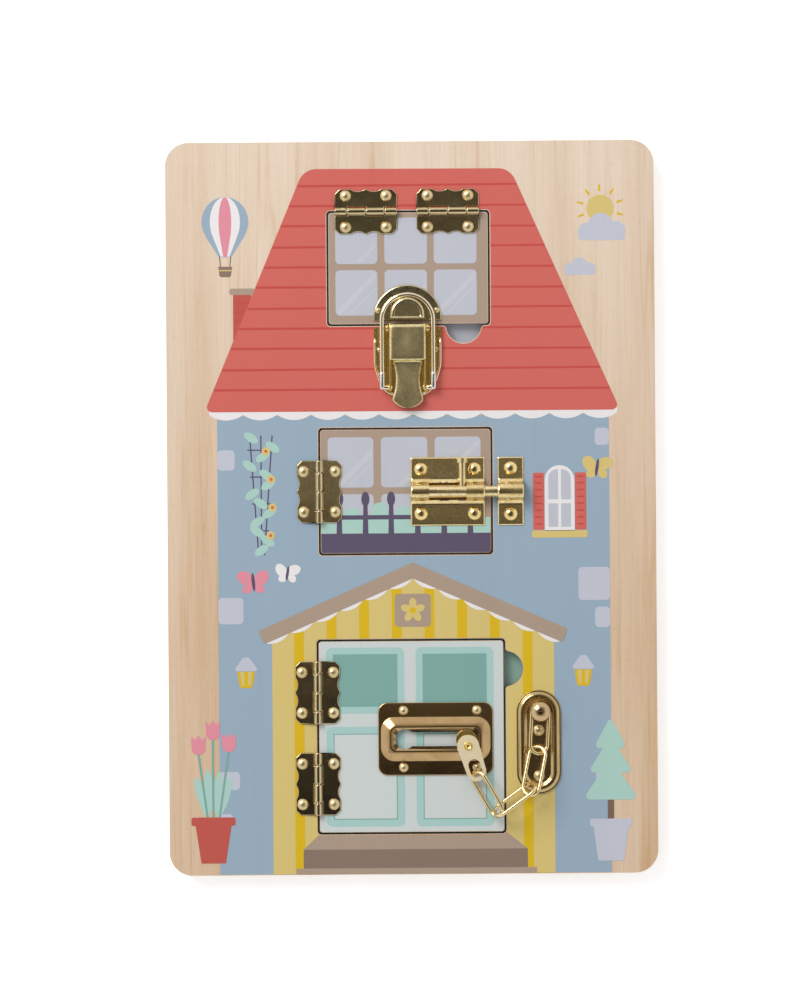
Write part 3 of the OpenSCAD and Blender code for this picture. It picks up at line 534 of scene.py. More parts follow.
def box_shape(left, low, right, high, radius=0.0, steps=6):
    return rounded([(left, low), (right, low), (right, high), (left, high)], radius, steps)


def taper(x, low, half_low, high, half_high, radii=0.0):
    """A trapezoid about x, given its half widths below and above."""
    return rounded([(x - half_low, low), (x + half_low, low),
                    (x + half_high, high), (x - half_high, high)], radii)


def oval(x, y, across, along, turn=0.0):
    """An ellipse with half-axes across and along, turned by turn degrees."""
    cos, sin = math.cos(math.radians(turn)), math.sin(math.radians(turn))
    return [(x + across * u * cos - along * v * sin, y + across * u * sin + along * v * cos)
            for u, v in arc(0, 0, 1, 0, 360, 28)[:-1]]


def stroke(points, width, end_width=None):
    """A line of the given width through points, tapering to end_width."""
    end_width = width if end_width is None else end_width
    left, right = [], []
    for i, point in enumerate(points):
        before = Vector(points[max(0, i - 1)])
        after = Vector(points[min(len(points) - 1, i + 1)])
        along = (after - before).normalized()
        half = (width + (end_width - width) * i / (len(points) - 1)) / 2
        side = Vector((-along.y, along.x)) * half
        left.append(tuple(Vector(point) + side))
        right.append(tuple(Vector(point) - side))
    return right + left[::-1]


def scallops(start, end, count, deep, cover):
    """A strip from start to end whose lower edge hangs in round lobes."""
    a, b = Vector(start), Vector(end)
    along = (b - a) / count
    down = Vector((along.y, -along.x)).normalized()
    outline = [tuple(b - down * cover), tuple(a - down * cover)]
    for i in range(count):
        for k in range(9):
            share = k / 8
            sag = down * deep * math.sin(math.pi * share) ** 0.75
            outline.append(tuple(a + along * (i + share) + sag))
    return outline


INKS = {name: ink_material(name + "_ink", paint(*colour)) for name, colour in {
    "roof_red": (210, 102, 92), "plank_red": (197, 74, 66), "trim_white": (235, 231, 230),
    "wall_blue": (152, 173, 190), "stone_grey": (194, 197, 209), "frame_brown": (173, 151, 133),
    "pane_lilac": (192, 194, 204), "glint_lilac": (199, 200, 207), "leaf_mint": (170, 206, 195),
    "rail_purple": (91, 80, 106), "porch_yellow": (216, 193, 118), "stripe_yellow": (219, 181, 4),
    "door_pale": (206, 212, 210), "door_mint": (168, 204, 198), "door_teal": (125, 170, 162),
    "step_brown": (138, 116, 101), "petal_pink": (226, 142, 158), "pot_red": (193, 84, 74),
    "trunk_brown": (122, 98, 84)}.items()}

# The lowest shapes run on past the foot of the board, where the print area cuts them off
GROUND = -152
WALL_LEFT, WALL_RIGHT, WALL_TOP = -79.4, 81.0, 38.0
print_ink("wall_print", "wall_blue", [box_shape(WALL_LEFT, GROUND, WALL_RIGHT, WALL_TOP)], 1)

# Quoin stones: the side, the middle's height, how far it reaches in and how tall it is
STONES = [(-1, 19.9, 7.1, 8.3), (-1, -41.8, 10.3, 10.8), (-1, -111.3, 8.4, 7.4),
          (-1, -127.2, 5.5, 4.7), (1, 28.7, 5.9, 7.1), (1, -31.5, 13.0, 13.5),
          (1, -45.2, 6.2, 8.4), (1, -111.9, 6.2, 7.5)]
stone_shapes = []
for side, high, reach, tall in STONES:
    left = WALL_RIGHT - reach if side > 0 else WALL_LEFT
    stone_shapes.append(box_shape(left, high - tall / 2, left + reach, high + tall / 2, 1.7))
print_ink("stone_print", "stone_grey", stone_shapes, 2)

ROOF = [(-84.6, 39.6), (85.6, 39.6), (41.2, 138.7), (-43.2, 138.9)]
print_ink("eave_print", "trim_white", [scallops((-82.6, 38.5), (84.4, 38.5), 12, 2.3, 2.0)], 2)
print_ink("roof_print", "roof_red", [rounded(ROOF, [2.2, 2.2, 7.5, 7.5])], 3)


def roof_edge(high, side):
    """How far the roof reaches to a side at a height."""
    low_corner, top_corner = (ROOF[1], ROOF[2]) if side > 0 else (ROOF[0], ROOF[3])
    share = (high - low_corner[1]) / (top_corner[1] - low_corner[1])
    return low_corner[0] + (top_corner[0] - low_corner[0]) * share


PLANK_PITCH = 8.35
plank_lines = []
for row in range(11):
    high = 48.6 + row * PLANK_PITCH
    tilt = 0.25 * math.sin(row * 2.1)
    plank_lines.append(stroke([(roof_edge(high, -1) + 0.3, high - tilt), (0, high),
                               (roof_edge(high, 1) - 0.3, high + tilt)], 0.95, 0.8))
print_ink("plank_print", "plank_red", plank_lines, 4)

GABLE_X, GABLE_HIGH, GABLE_LOW, GABLE_HALF, BEAM = 0.3, -22.4, -50.0, 63.4, 6.0
PORCH_LEFT, PORCH_RIGHT, TRIM_IN = -57.5, 57.9, 2.6
fall = math.atan2(GABLE_HIGH - GABLE_LOW, GABLE_HALF)
beam_low = GABLE_HIGH - BEAM / math.cos(fall)
porch_low = beam_low - (PORCH_RIGHT - GABLE_X) * math.tan(fall)
print_ink("porch_print", "porch_yellow", [[
    (PORCH_LEFT, GROUND), (PORCH_RIGHT, GROUND), (PORCH_RIGHT, porch_low + 1.5),
    (GABLE_X, beam_low + 1.5), (PORCH_LEFT, porch_low + 1.5)]], 3)
stripe_shapes = []
for i in range(8):
    left, right = (-46.5 + 13.36 * i + half for half in (-2, 2))
    tops = [(x, beam_low + 1.2 - abs(x - GABLE_X) * math.tan(fall)) for x in (right, left)]
    stripe_shapes.append([(left, GROUND), (right, GROUND)] + tops)
print_ink("stripe_print", "stripe_yellow", stripe_shapes, 4)
trim_high = beam_low + 0.4
trim_low = trim_high - (GABLE_HALF - TRIM_IN) * math.tan(fall)
print_ink("gable_trim_print", "trim_white", [
    scallops((GABLE_X - GABLE_HALF + TRIM_IN, trim_low), (GABLE_X, trim_high), 6, 1.9, 1.5),
    scallops((GABLE_X, trim_high), (GABLE_X + GABLE_HALF - TRIM_IN, trim_low), 6, 1.9, 1.5)], 5)
end_in, end_low = GABLE_HALF - BEAM * math.sin(fall), GABLE_LOW - BEAM * math.cos(fall)
print_ink("gable_beam_print", "frame_brown", [rounded([
    (GABLE_X - GABLE_HALF, GABLE_LOW), (GABLE_X - end_in, end_low), (GABLE_X, beam_low),
    (GABLE_X + end_in, end_low), (GABLE_X + GABLE_HALF, GABLE_LOW), (GABLE_X, GABLE_HIGH)],
    [1.4, 1.0, 0, 1.0, 1.4, 1.6])], 6)
FLOWER = (0.2, -42)
print_ink("plaque_print", "frame_brown", [box_shape(-7.2, -48.7, 7.6, -35.2, 1.6)], 5)
print_ink("plaque_flower_print", "porch_yellow", [
    oval(*petal, 2.2, 1.5, 90 + 72 * i)
    for i, petal in enumerate(arc(*FLOWER, 2.9, 90, 378, 4))], 6)
print_ink("plaque_flower_eye_print", "stripe_yellow", [oval(*FLOWER, 1.3, 1.3)], 7)

print_ink("step_top_print", "frame_brown", [
    [(-38.2, -133.0), (-45.2, -139.7), (46.6, -139.7), (38.0, -133.0)],
    box_shape(-48.2, GROUND, 50.3, -147.4)], 5)
print_ink("step_front_print", "step_brown", [box_shape(-45.2, -147.4, 46.6, -139.7)], 5)

# Beside the porch and round the roof: lanterns, a balloon, weather, a shuttered window, a
# trellis, butterflies, tulips and a fir
for x, label in ((-68.2, "left"), (69.8, "right")):
    print_ink("lantern_roof_print_" + label, "stone_grey",
              [taper(x, -66.4, 5.2, -60.8, 1.2, [0.8, 0.8, 1.0, 1.0])], 3)
    print_ink("lantern_glass_print_" + label, "stripe_yellow",
              [taper(x, -73.4, 2.6, -66.6, 3.6, [1.6, 1.6, 0, 0])], 2)
    print_ink("lantern_pane_print_" + label, "porch_yellow", [
        [(x + side * u, y) for u, y in ((2.5, -66.8), (1.8, -72.4), (0.6, -72.4), (0.7, -66.8))]
        for side in (-1, 1)], 3)

BALLOON_X, BALLOON_Y = -75.6, 117.5
BALLOON_TALL, BALLOON_FOOT = 10.2, BALLOON_Y - 14.2
print_ink("balloon_skin_print", "wall_blue", [
    oval(BALLOON_X, BALLOON_Y, 9.6, BALLOON_TALL),
    taper(BALLOON_X, BALLOON_FOOT - 0.2, 2.6, BALLOON_Y - 5.5, 8.2, [0.6, 0.6, 0, 0])], 1)
for level, label, ink, half, high_half, low_half in (
        (2, "band", "trim_white", 6.2, 5.4, 1.8), (3, "stripe", "petal_pink", 2.6, 2.3, 0.8)):
    print_ink("balloon_" + label + "_print", ink, [
        oval(BALLOON_X, BALLOON_Y, half, BALLOON_TALL),
        taper(BALLOON_X, BALLOON_FOOT, low_half, BALLOON_Y - 5, high_half)], level)
print_ink("balloon_rope_print", "trunk_brown", [
    stroke([(BALLOON_X + side * 2.3, BALLOON_FOOT), (BALLOON_X + side * 1.9, 98.6)], 0.4)
    for side in (-1, 1)], 1)
print_ink("balloon_basket_print", "step_brown",
          [taper(BALLOON_X, 94.9, 2.3, 99.2, 2.9, [1.0, 1.0, 0.4, 0.4])], 2)
print_ink("balloon_weave_print", "porch_yellow", [
    stroke([(BALLOON_X - 2.6, 97.6), (BALLOON_X + 2.6, 97.6)], 0.5)], 3)

SUN_X, SUN_Y = 78, 122
print_ink("sun_print", "porch_yellow", [oval(SUN_X, SUN_Y, 5.6, 5.6)], 1)
print_ink("sun_ray_print", "stripe_yellow", [
    stroke(ray, 1.1, 0.6) for ray in zip(arc(SUN_X, SUN_Y, 7.2, 20, 344, 9),
                                         arc(SUN_X, SUN_Y, 9.8, 20, 344, 9))], 1)
print_ink("cloud_print", "stone_grey", [
    oval(x, y, r, r) for x, y, r in
    ((72.5, 112.6, 3.6), (78.2, 115.2, 5.0), (84.4, 112.9, 3.9), (65.4, 97.3, 2.4),
     (69.4, 98.8, 3.2), (73.4, 97.4, 2.5))] + [
    box_shape(69, 109, 88.2, 112.6, 1.7), box_shape(63.0, 94.9, 75.8, 97.4, 1.2)], 2)
print_ink("chimney_print", "pot_red", [box_shape(-72.5, 66, -65, 88)], 1)
print_ink("chimney_cap_print", "frame_brown", [box_shape(-74, 87.6, -63.5, 90.2, 0.8)], 2)
print_ink("chimney_brick_print", "plank_red", [
    stroke([(-72.2, y), (-66, y)], 0.6) for y in (77.0, 80.6, 84.2)], 2)

SIDE_X, SIDE_Y = 60.6, 3.0
SHUTTERS = (SIDE_X - 8.6, SIDE_X + 8.6)
print_ink("side_window_sill_print", "porch_yellow",
          [box_shape(SIDE_X - 11.4, SIDE_Y - 15.6, SIDE_X + 11.4, SIDE_Y - 12.6, 0.8)], 3)
print_ink("side_window_frame_print", "trim_white",
          [box_shape(SIDE_X - 6.1, SIDE_Y - 12.8, SIDE_X + 6.1, SIDE_Y + 14, [0, 0, 6.0, 6.0])], 3)
side_panes = []
for left, top_radii in ((SIDE_X - 4.6, [0.4, 0.4, 0.3, 3.6]),
                        (SIDE_X + 0.6, [0.4, 0.4, 3.6, 0.3])):
    side_panes.append(box_shape(left, SIDE_Y - 11.2, left + 4, SIDE_Y - 1.6, 0.4))
    side_panes.append(box_shape(left, SIDE_Y, left + 4, SIDE_Y + 12.4, top_radii))
print_ink("side_window_pane_print", "pane_lilac", side_panes, 4)
print_ink("side_shutter_print", "roof_red", [
    box_shape(x - 2.3, SIDE_Y - 12.4, x + 2.3, SIDE_Y + 11, 0.6) for x in SHUTTERS], 3)
print_ink("side_slat_print", "plank_red", [
    stroke([(x - 1.5, SIDE_Y + y), (x + 1.5, SIDE_Y + y)], 0.6)
    for x in SHUTTERS for y in (-10, -7.2, -4.4, -1.6, 1.2, 4.0, 6.8, 9.4)], 4)

TRELLIS_X = -61.5
print_ink("trellis_print", "rail_purple", [
    stroke([(TRELLIS_X + side * 1.2, -19), (TRELLIS_X + side * 4.6, 30)], 0.55)
    for side in (-1, 0, 1)] + [
    stroke([(TRELLIS_X - half, y), (TRELLIS_X + half, y)], 0.5)
    for half, y in ((5.6, 24), (4.6, 13), (3.8, 2), (3.0, -9))], 2)
leaf_turns = []
for i in range(13):
    climb = i / 12
    sway = (2.4 + 3.2 * climb) * math.sin(i * 1.9)
    leaf_turns.append((TRELLIS_X + sway, -17 + 46 * climb, 35 if math.cos(i * 1.9) > 0 else -35))
print_ink("trellis_leaf_print", "leaf_mint", [
    oval(x, y, 3.3, 1.7, turn) for x, y, turn in leaf_turns], 3)
print_ink("trellis_bloom_print", "porch_yellow", [
    oval(x + 1.2, y + 2.2, 1.7, 1.7) for x, y, turn in leaf_turns[1::3]], 4)
print_ink("trellis_eye_print", "roof_red", [
    oval(x + 1.2, y + 2.2, 0.65, 0.65) for x, y, turn in leaf_turns[1::3]], 5)

for label, x, y, turn, ink, size in (("pink", -65, -30, 12, "petal_pink", 1.25),
                                     ("white", -51, -26.5, -20, "trim_white", 1.0),
                                     ("yellow", 76, 16, -18, "porch_yellow", 1.2)):
    print_ink("butterfly_wing_print_" + label, ink, [
        oval(x + side * 2.6 * size, y + 1.3 * size, 2.9 * size, 2.1 * size, side * 38 + turn)
        for side in (-1, 1)] + [
        oval(x + side * 1.9 * size, y - 2.0 * size, 1.9 * size, 1.5 * size, -side * 35 + turn)
        for side in (-1, 1)], 3)
    print_ink("butterfly_body_print_" + label, "rail_purple",
              [oval(x, y, 0.55 * size, 3.0 * size, turn / 2)], 4)

TULIP_X, FIR_X = -82, 80.7
print_ink("tulip_leaf_print", "leaf_mint", [
    oval(TULIP_X + dx, -118 + dy, 2.0, 8.5, turn)
    for dx, dy, turn in ((-4.5, 0, 18), (4.5, 0, -18), (-1.6, 3, 5), (1.8, 2, -6))], 3)
print_ink("tulip_stem_print", "door_teal", [
    stroke([(TULIP_X + dx * 0.35, -128), (TULIP_X + dx, -100 + dy)], 0.9)
    for dx, dy in ((-6, 0), (0, 6), (6.5, 1))], 4)
print_ink("tulip_bloom_print", "petal_pink", [
    rounded([(x + u, y + v) for u, v in (
        (-3, 4.2), (-2.6, -3.4), (2.6, -3.4), (3, 4.2), (1.3, 2.4), (0, 4.6), (-1.3, 2.4))],
        [0.3, 2.2, 2.2, 0.3, 0, 0.2, 0])
    for x, y in ((-88.0, -97), (-82.0, -91), (-75.5, -96))], 5)
print_ink("tulip_pot_print", "pot_red", [
    taper(TULIP_X, -145, 5, -128.5, 7.5), box_shape(-91, -129.6, -73, -126.2, 0.8)], 5)

print_ink("fir_trunk_print", "trunk_brown", [box_shape(79.4, -132, 82, -112)], 3)
print_ink("fir_print", "leaf_mint", [
    rounded([(FIR_X - w, y), (FIR_X + w, y), (FIR_X, y + h)], [1.6, 1.6, 1.2])
    for w, y, h in ((11.5, -120, 17), (9.4, -109, 15), (7.0, -99, 13))], 4)
print_ink("fir_tub_print", "stone_grey", [
    taper(FIR_X, -145, 5.3, -130, 7.3), box_shape(72.2, -131, 89.2, -127.8, 0.8)], 5)


# ---- prints inside the openings ----
# The back layer shows through the finger notches and when a leaf is open. Each opening's
# floor is printed in one plain ink.

floor_area = printable("back_panel")


def whole_leaf(node, spare=2.0, radius=0.0):
    """The rectangle round a leaf or its opening, with some to spare."""
    low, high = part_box(node)
    return box_shape(low.x / MM - spare, low.y / MM - spare,
                     high.x / MM + spare, high.y / MM + spare, radius)


for node, colour, notch, notch_place in (
        ("attic_window", (196, 199, 210), "attic_notch", (21.8, 74.5)),
        ("balcony_window", (205, 200, 208), None, None),
        ("front_door", (150, 186, 172), "door_notch", (37.9, -66.1))):
    INKS[node] = ink_material(node + "_floor_ink", paint(*colour))
    print_ink(node + "_floor_print", node, [whole_leaf(node, 0.8, 1.6)], 1, floor_area)
    if notch:
        print_ink(notch + "_floor_print", node, [oval(*notch_place, 7.6, 7.6)], 2, floor_area)


# ---- print on the attic window ----
# The attic window is printed with six lilac panes in a light brown frame, and with slanted
# glints across the glass. The ink stops just short of the leaf's own sawn edge.

LEAF_MARGIN = 0.2
attic_area = printable("attic_window", LEAF_MARGIN)


def clipped(shape, left, low, right, high):
    """The part of a convex outline that lies in a box."""
    for axis, limit, side in ((0, left, 1), (0, right, -1), (1, low, 1), (1, high, -1)):
        kept = []
        for i, here in enumerate(shape):
            before = shape[i - 1]
            a, b = side * (before[axis] - limit), side * (here[axis] - limit)
            if (a >= 0) != (b >= 0):
                share = a / (a - b)
                kept.append((before[0] + (here[0] - before[0]) * share,
                             before[1] + (here[1] - before[1]) * share))
            if b >= 0:
                kept.append(here)
        shape = kept
        if not shape:
            return shape
    return shape


def glint(pane, start, wide):
    """A slanted strip across a pane, cut off at the pane's edge."""
    left, low, right, high = pane
    slant = (high - low) * 1.1
    strip = [(start, low - 1), (start + wide, low - 1),
             (start + wide + slant, high + 1), (start + slant, high + 1)]
    return clipped(strip, left + 0.6, low + 0.6, right - 0.6, high - 0.6)


print_ink("attic_frame_print", "frame_brown", [whole_leaf("attic_window")], 1, attic_area)
attic_panes = [(left, low, right, high)
               for left, right in ((-30.5, -13.3), (-10.4, 7.0), (9.8, 27.3))
               for low, high in ((99.9, 118.8), (78.8, 97.4))]
print_ink("attic_pane_print", "pane_lilac", [box_shape(*pane, 1.8) for pane in attic_panes],
          2, attic_area)
print_ink("attic_glint_print", "glint_lilac", [
    glint(attic_panes[i], start, wide) for i, start, wide in (
        (1, -33, 3.2), (1, -26.5, 1.1), (3, -8, 2.4), (5, 7.5, 3.4), (5, 13.2, 1.0),
        (0, -24, 2.2))], 3, attic_area)


# ---- print on the balcony window ----
# Three panes over a strip of lower panes with green bushes, and a purple railing with oval
# finials in front of a purple planter.

balcony_area = printable("balcony_window", LEAF_MARGIN)
print_ink("balcony_frame_print", "frame_brown", [whole_leaf("balcony_window")], 1, balcony_area)
balcony_panes = [(left, 8.4, right, 29.0)
                 for left, right in ((-34.2, -15.5), (-12.4, 6.6), (9.6, 28.4))]
low_panes = [(left, -18.0, right, 5.7) for left, low, right, high in balcony_panes]
print_ink("balcony_pane_print", "pane_lilac",
          [box_shape(*pane, 1.8) for pane in balcony_panes + low_panes], 2, balcony_area)
print_ink("balcony_glint_print", "glint_lilac", [
    glint(balcony_panes[i], start, wide) for i, start, wide in (
        (0, -33, 3.0), (0, -27.5, 0.9), (1, -8, 3.6), (2, 7, 2.4))], 3, balcony_area)
print_ink("balcony_bush_print", "leaf_mint", [
    box_shape(-39, -12, 34, -4.0)] + [
    rounded([(x - 4.6, -6), (x + 4.6, -6), (x + 2.2, tall), (x - 2.6, tall - 0.8)], 2.0)
    for x, tall in ((-31.4, 1.8), (-24.2, 0.4), (-13.0, 2.6), (-3.2, 0.9), (7.6, 2.2),
                    (17.5, 0.8), (24.6, 2.4))], 4, balcony_area)
rail_posts = (-29.6, -18.9, -8.4, 2.5, 13.3, 24.0)
print_ink("balcony_rail_print", "rail_purple", [
    box_shape(-39, -4.7, 28.5, -2.9), box_shape(-39, -22, 34, -10.4)] + [
    [(x - 1.2, -11), (x + 1.2, -11), (x + 0.8, 3), (x - 0.8, 3)] for x in rail_posts] + [
    oval(x, 3.7, 1.65, 3.0) for x in rail_posts], 5, balcony_area)


# ---- print on the front door ----
# Two narrow leaves side by side, each with a square teal pane above and a mint-framed
# panel below.

door_area = printable("front_door", LEAF_MARGIN)
print_ink("door_base_print", "door_pale", [whole_leaf("front_door")], 1, door_area)
door_frames, door_panes, panel_lines, panel_fields = [], [], [], []
for left, right in ((-32.7, -6.3), (4.0, 30.2)):
    door_frames.append(box_shape(left - 2.8, -84.1, right + 2.8, -57.1, 2.4))
    door_panes.append(box_shape(left, -81.3, right, -59.8))
    door_frames.append(box_shape(left - 2.8, -130.4, right + 2.8, -89.5, 2.4))
    panel_lines.append(box_shape(left + 0.1, -127.5, right - 0.2, -92.3))
    panel_fields.append(box_shape(left + 0.5, -127.1, right - 0.6, -92.7))
print_ink("door_frame_print", "door_mint", door_frames, 2, door_area)
print_ink("door_pane_print", "door_teal", door_panes + panel_lines, 3, door_area)
print_ink("door_panel_print", "door_pale", panel_fields, 4, door_area)


# ---- brass, as every lock and hinge has it ----
# The fittings are pressed, rolled or turned from brass and polished. Fingers leave faint
# smears on it, and handling leaves hair scratches, dull specks and dust.

brass_group, brass_in, brass_out = group_tree(
    "handled_brass", "Color", "Roughness", "Height", Metal=WHITE, Tarnish=BLACK,
    Polish=0.1, Smear=0.2, Grit=0.3, Ripple=1.0)
place = node_of(brass_group, "ShaderNodeTexCoord").outputs["Object"]
smears = stretched_noise(place, (150, 110, 150), 4.0, 0.6)
grit = stretched_noise(place, (950, 1100, 950), 3.0, 0.65)
specks = stretched_noise(place, (1900, 1900, 1900), 1.0)
scratches = stretched_noise(place, (4200, 90, 900), 2.0, 0.6)
swells = stretched_noise(place, (80, 80, 80), 2.0, 0.4)
dull = spread(smears, 0.4, 0.72)
gritty = calc("MULTIPLY", spread(grit, 0.35, 0.68), brass_in.outputs["Grit"])
tarnish = calc("ADD", calc("MULTIPLY", dull, 0.4), gritty, True)
metal = mixed(tarnish, brass_in.outputs["Metal"], brass_in.outputs["Tarnish"])
brass_group.links.new(metal, brass_out.inputs["Color"])
rough = calc("MULTIPLY", calc("ADD", dull, gritty), brass_in.outputs["Smear"])
relief = calc("MULTIPLY", spread(scratches, 0.62, 0.75), 0.015)
for part in (brass_in.outputs["Polish"], spread(specks, 0.76, 0.8, 0.0, 0.35)):
    rough = calc("ADD", rough, part)
for part in (calc("MULTIPLY", swells, brass_in.outputs["Ripple"]),
             calc("MULTIPLY", gritty, 0.012)):
    relief = calc("ADD", relief, part)
brass_group.links.new(rough, brass_out.inputs["Roughness"])
brass_group.links.new(relief, brass_out.inputs["Height"])


def brass_material(name, metal_rgb, tarnish_rgb, polish, smear, grit_share, ripple,
                   metallic=1.0):
    """Brass of one hue, with its roughness where clean and how strongly handling shows."""
    material, tree, shader = new_material(name, Metallic=metallic)
    brass = place_group(tree, brass_group, Metal=paint(*metal_rgb), Tarnish=paint(*tarnish_rgb),
                        Polish=polish, Smear=smear, Grit=grit_share, Ripple=ripple)
    tree.links.new(brass.outputs["Color"], shader.inputs["Base Color"])
    tree.links.new(brass.outputs["Roughness"], shader.inputs["Roughness"])
    link_bump(tree, shader, brass.outputs["Height"], 1.0, 0.0003)
    return material


def dress(node, material, edge=0.25, clamp=True):
    """The node's own metal form with its sharp edges rounded over."""
    piece = finished(node + "_brass", cad_mesh(node), body_name(node), material, [node])
    return soften(piece, edge, clamp=clamp)


def nail(material, *nodes, edge=0.1):
    """Round-headed nails, driven home."""
    for node in nodes:
        dress(node, material, edge)


def mesh_of_rows(rows, closed=False):
    """An edit mesh of quads between rows of equal length, given in millimetres."""
    bm = bmesh.new()
    grid = [[bm.verts.new(Vector(point) * MM) for point in row] for row in rows]
    for lower, upper in zip(grid, grid[1:]):
        for k in range(len(lower) - (0 if closed else 1)):
            n = (k + 1) % len(lower)
            bm.faces.new((lower[k], lower[n], upper[n], upper[k]))
    return bm, grid


def capped(name, rings, body, material):
    """A closed form through rings of points, with a flat end at either side."""
    bm, grid = mesh_of_rows(rings, closed=True)
    bm.faces.new(grid[0])
    bm.faces.new(grid[-1])
    bmesh.ops.recalc_face_normals(bm, faces=bm.faces)
    return finished(name, bm, body, material)


def pressed_sheet(name, bm, body, slot, material, replaced, wall, *rounding):
    """A sheet through the mesh, with its wall below and its edges rounded."""
    bmesh.ops.recalc_face_normals(bm, faces=bm.faces)
    if sum(face.normal.z * face.calc_area() for face in bm.faces) < 0:
        bmesh.ops.reverse_faces(bm, faces=bm.faces)
    piece = finished(name, bm, body, material, replaced)
    solid = piece.modifiers.new("sheet_wall", "SOLIDIFY")
    solid.thickness = wall * MM
    solid.offset = -1
    return soften(piece, *rounding)


# ---- butt hinges ----
# Each hinge is two pressed plates with a wavy free edge, whose rolled knuckles interlock on a
# brass pin. Four round-headed nails hold it to the board and the leaf.

hinge_brass = brass_material("hinge_brass", (212, 197, 160), (170, 148, 102), 0.07, 0.08, 0.3, 0.4)
nail_brass = brass_material("nail_brass", (226, 208, 164), (190, 162, 112), 0.32, 0.1, 0.2, 0.1)
turned_brass = brass_material("turned_brass", (238, 220, 174), (205, 176, 116), 0.18, 0.12, 0.2, 0.1)
for hinge, moving in (("attic_hinge_left", "window"), ("attic_hinge_right", "window"),
                      ("balcony_hinge", "window"), ("door_hinge_upper", "door"),
                      ("door_hinge_lower", "door")):
    for part in ("_board_leaf", "_" + moving + "_leaf"):
        dress(hinge + part, hinge_brass, 0.38, False)
    dress(hinge + "_pin", turned_brass, 0.1)
nail(nail_brass, "attic_hinge_board_nails", "attic_hinge_window_nails",
     "balcony_hinge_board_nails", "balcony_hinge_window_nails", "door_hinge_board_nails",
     "door_hinge_door_nails")


# ---- toggle latch on the attic window ----
# A pressed lever pulls a wire loop over a hooked catch. The lever's head and tail are one
# sheet with turned-down sides, the base plate is nailed to the board and the catch to the
# window, and the loop's wire ends sit in plated sleeves.

TOGGLE_X, PIVOT_Y, PIVOT_Z = -1.2, 73.5, 3.1
FACE = face_top / MM
gilt_brass = brass_material("gilt_brass", (244, 214, 136), (222, 176, 84), 0.2, 0.16, 0.3, 0.2)
latch_brass = brass_material("latch_brass", (228, 214, 174), (178, 162, 120), 0.12, 0.14, 0.5, 0.3)
lever_brass = brass_material("lever_brass", (238, 224, 178), (176, 156, 106), 0.24, 0.16, 0.7, 0.3)
wire_brass = brass_material("wire_brass", (236, 216, 166), (206, 178, 118), 0.17, 0.1, 0.3, 0.05)
loop_brass = brass_material("loop_brass", (248, 238, 212), (222, 200, 152), 0.11, 0.08, 0.3, 0.05)
plated_wire = brass_material("plated_sleeve", (226, 227, 224), (196, 196, 190), 0.22, 0.12, 0.3, 0.1)

dress("toggle_base", gilt_brass, 0.36)
nail(nail_brass, "toggle_lever_rivet", edge=0.12)
nail(nail_brass, "toggle_base_nails", "toggle_catch_nails")


def latch_sheet(name, half, low, middle, low_in, profile, replaced, wall):
    """A pressed half disc over a short skirt, drawn in step by step as it rises."""
    rows = []
    for inset, z in profile:
        reach = half - inset
        foot = low + min(inset, low_in)
        outline = [(TOGGLE_X - reach, foot), *arc(TOGGLE_X, middle, reach, 180, 0, 28),
                   (TOGGLE_X + reach, foot)]
        rows.append([(x, y, FACE + z) for x, y in outline])
    bm, grid = mesh_of_rows(rows, closed=True)
    bm.faces.new(grid[-1])
    pressed_sheet(name, bm, "attic_leaf", "sheet_brass", latch_brass, replaced, wall,
                  0.16, 2, 45)


HOOK_R, HOOK_LOW, HOOK_MID = 7.05, 77.3, 79.05
latch_sheet("toggle_catch_plate", 14.05, 76.6, 77.25, 0.3, (
    (0.0, 0.35), (0.08, 0.6), (0.3, 0.78), (0.7, 0.84), (2.2, 0.95), (4.5, 1.08), (6.5, 1.12)),
    ["toggle_catch"], 0.3)
latch_sheet("toggle_hook_neck", HOOK_R - 1.05, HOOK_LOW, HOOK_MID, 0.0,
            ((0.0, 0.8), (0.0, 4.2)), [], 0.3)
latch_sheet("toggle_hook_cap", HOOK_R, HOOK_LOW, HOOK_MID, 0.9, (
    (0.1, 3.5), (0.0, 3.8), (0.06, 4.15), (0.28, 4.5), (0.65, 4.78), (1.1, 4.92), (1.5, 4.9),
    (1.8, 4.76), (2.1, 4.7), (4.2, 4.78)), [], 0.5)

LEVER_HALF, HEAD_LEN, LEVER_LEN, TAIL_HALF, TIP_R = 7.5, 13.0, 32.8, 6.9, 8.0
WAIST_BACK, WAIST_OUT, WAIST_R = 21, 26.4, 21.3
HEAD_TOP, TAIL_TOP, NOSE_R = 5.2, 3.4, 2.1


def lever_half_width(back):
    """Half the lever's width at a distance behind its pivot."""
    if back < HEAD_LEN + 0.3:
        return LEVER_HALF
    waist = WAIST_OUT - math.sqrt(WAIST_R ** 2 - (WAIST_BACK - back) ** 2)
    tip = TIP_R ** 2 - max(0.0, back - (LEVER_LEN - TIP_R)) ** 2
    return min(TAIL_HALF, waist, math.sqrt(max(tip, 0.0)))


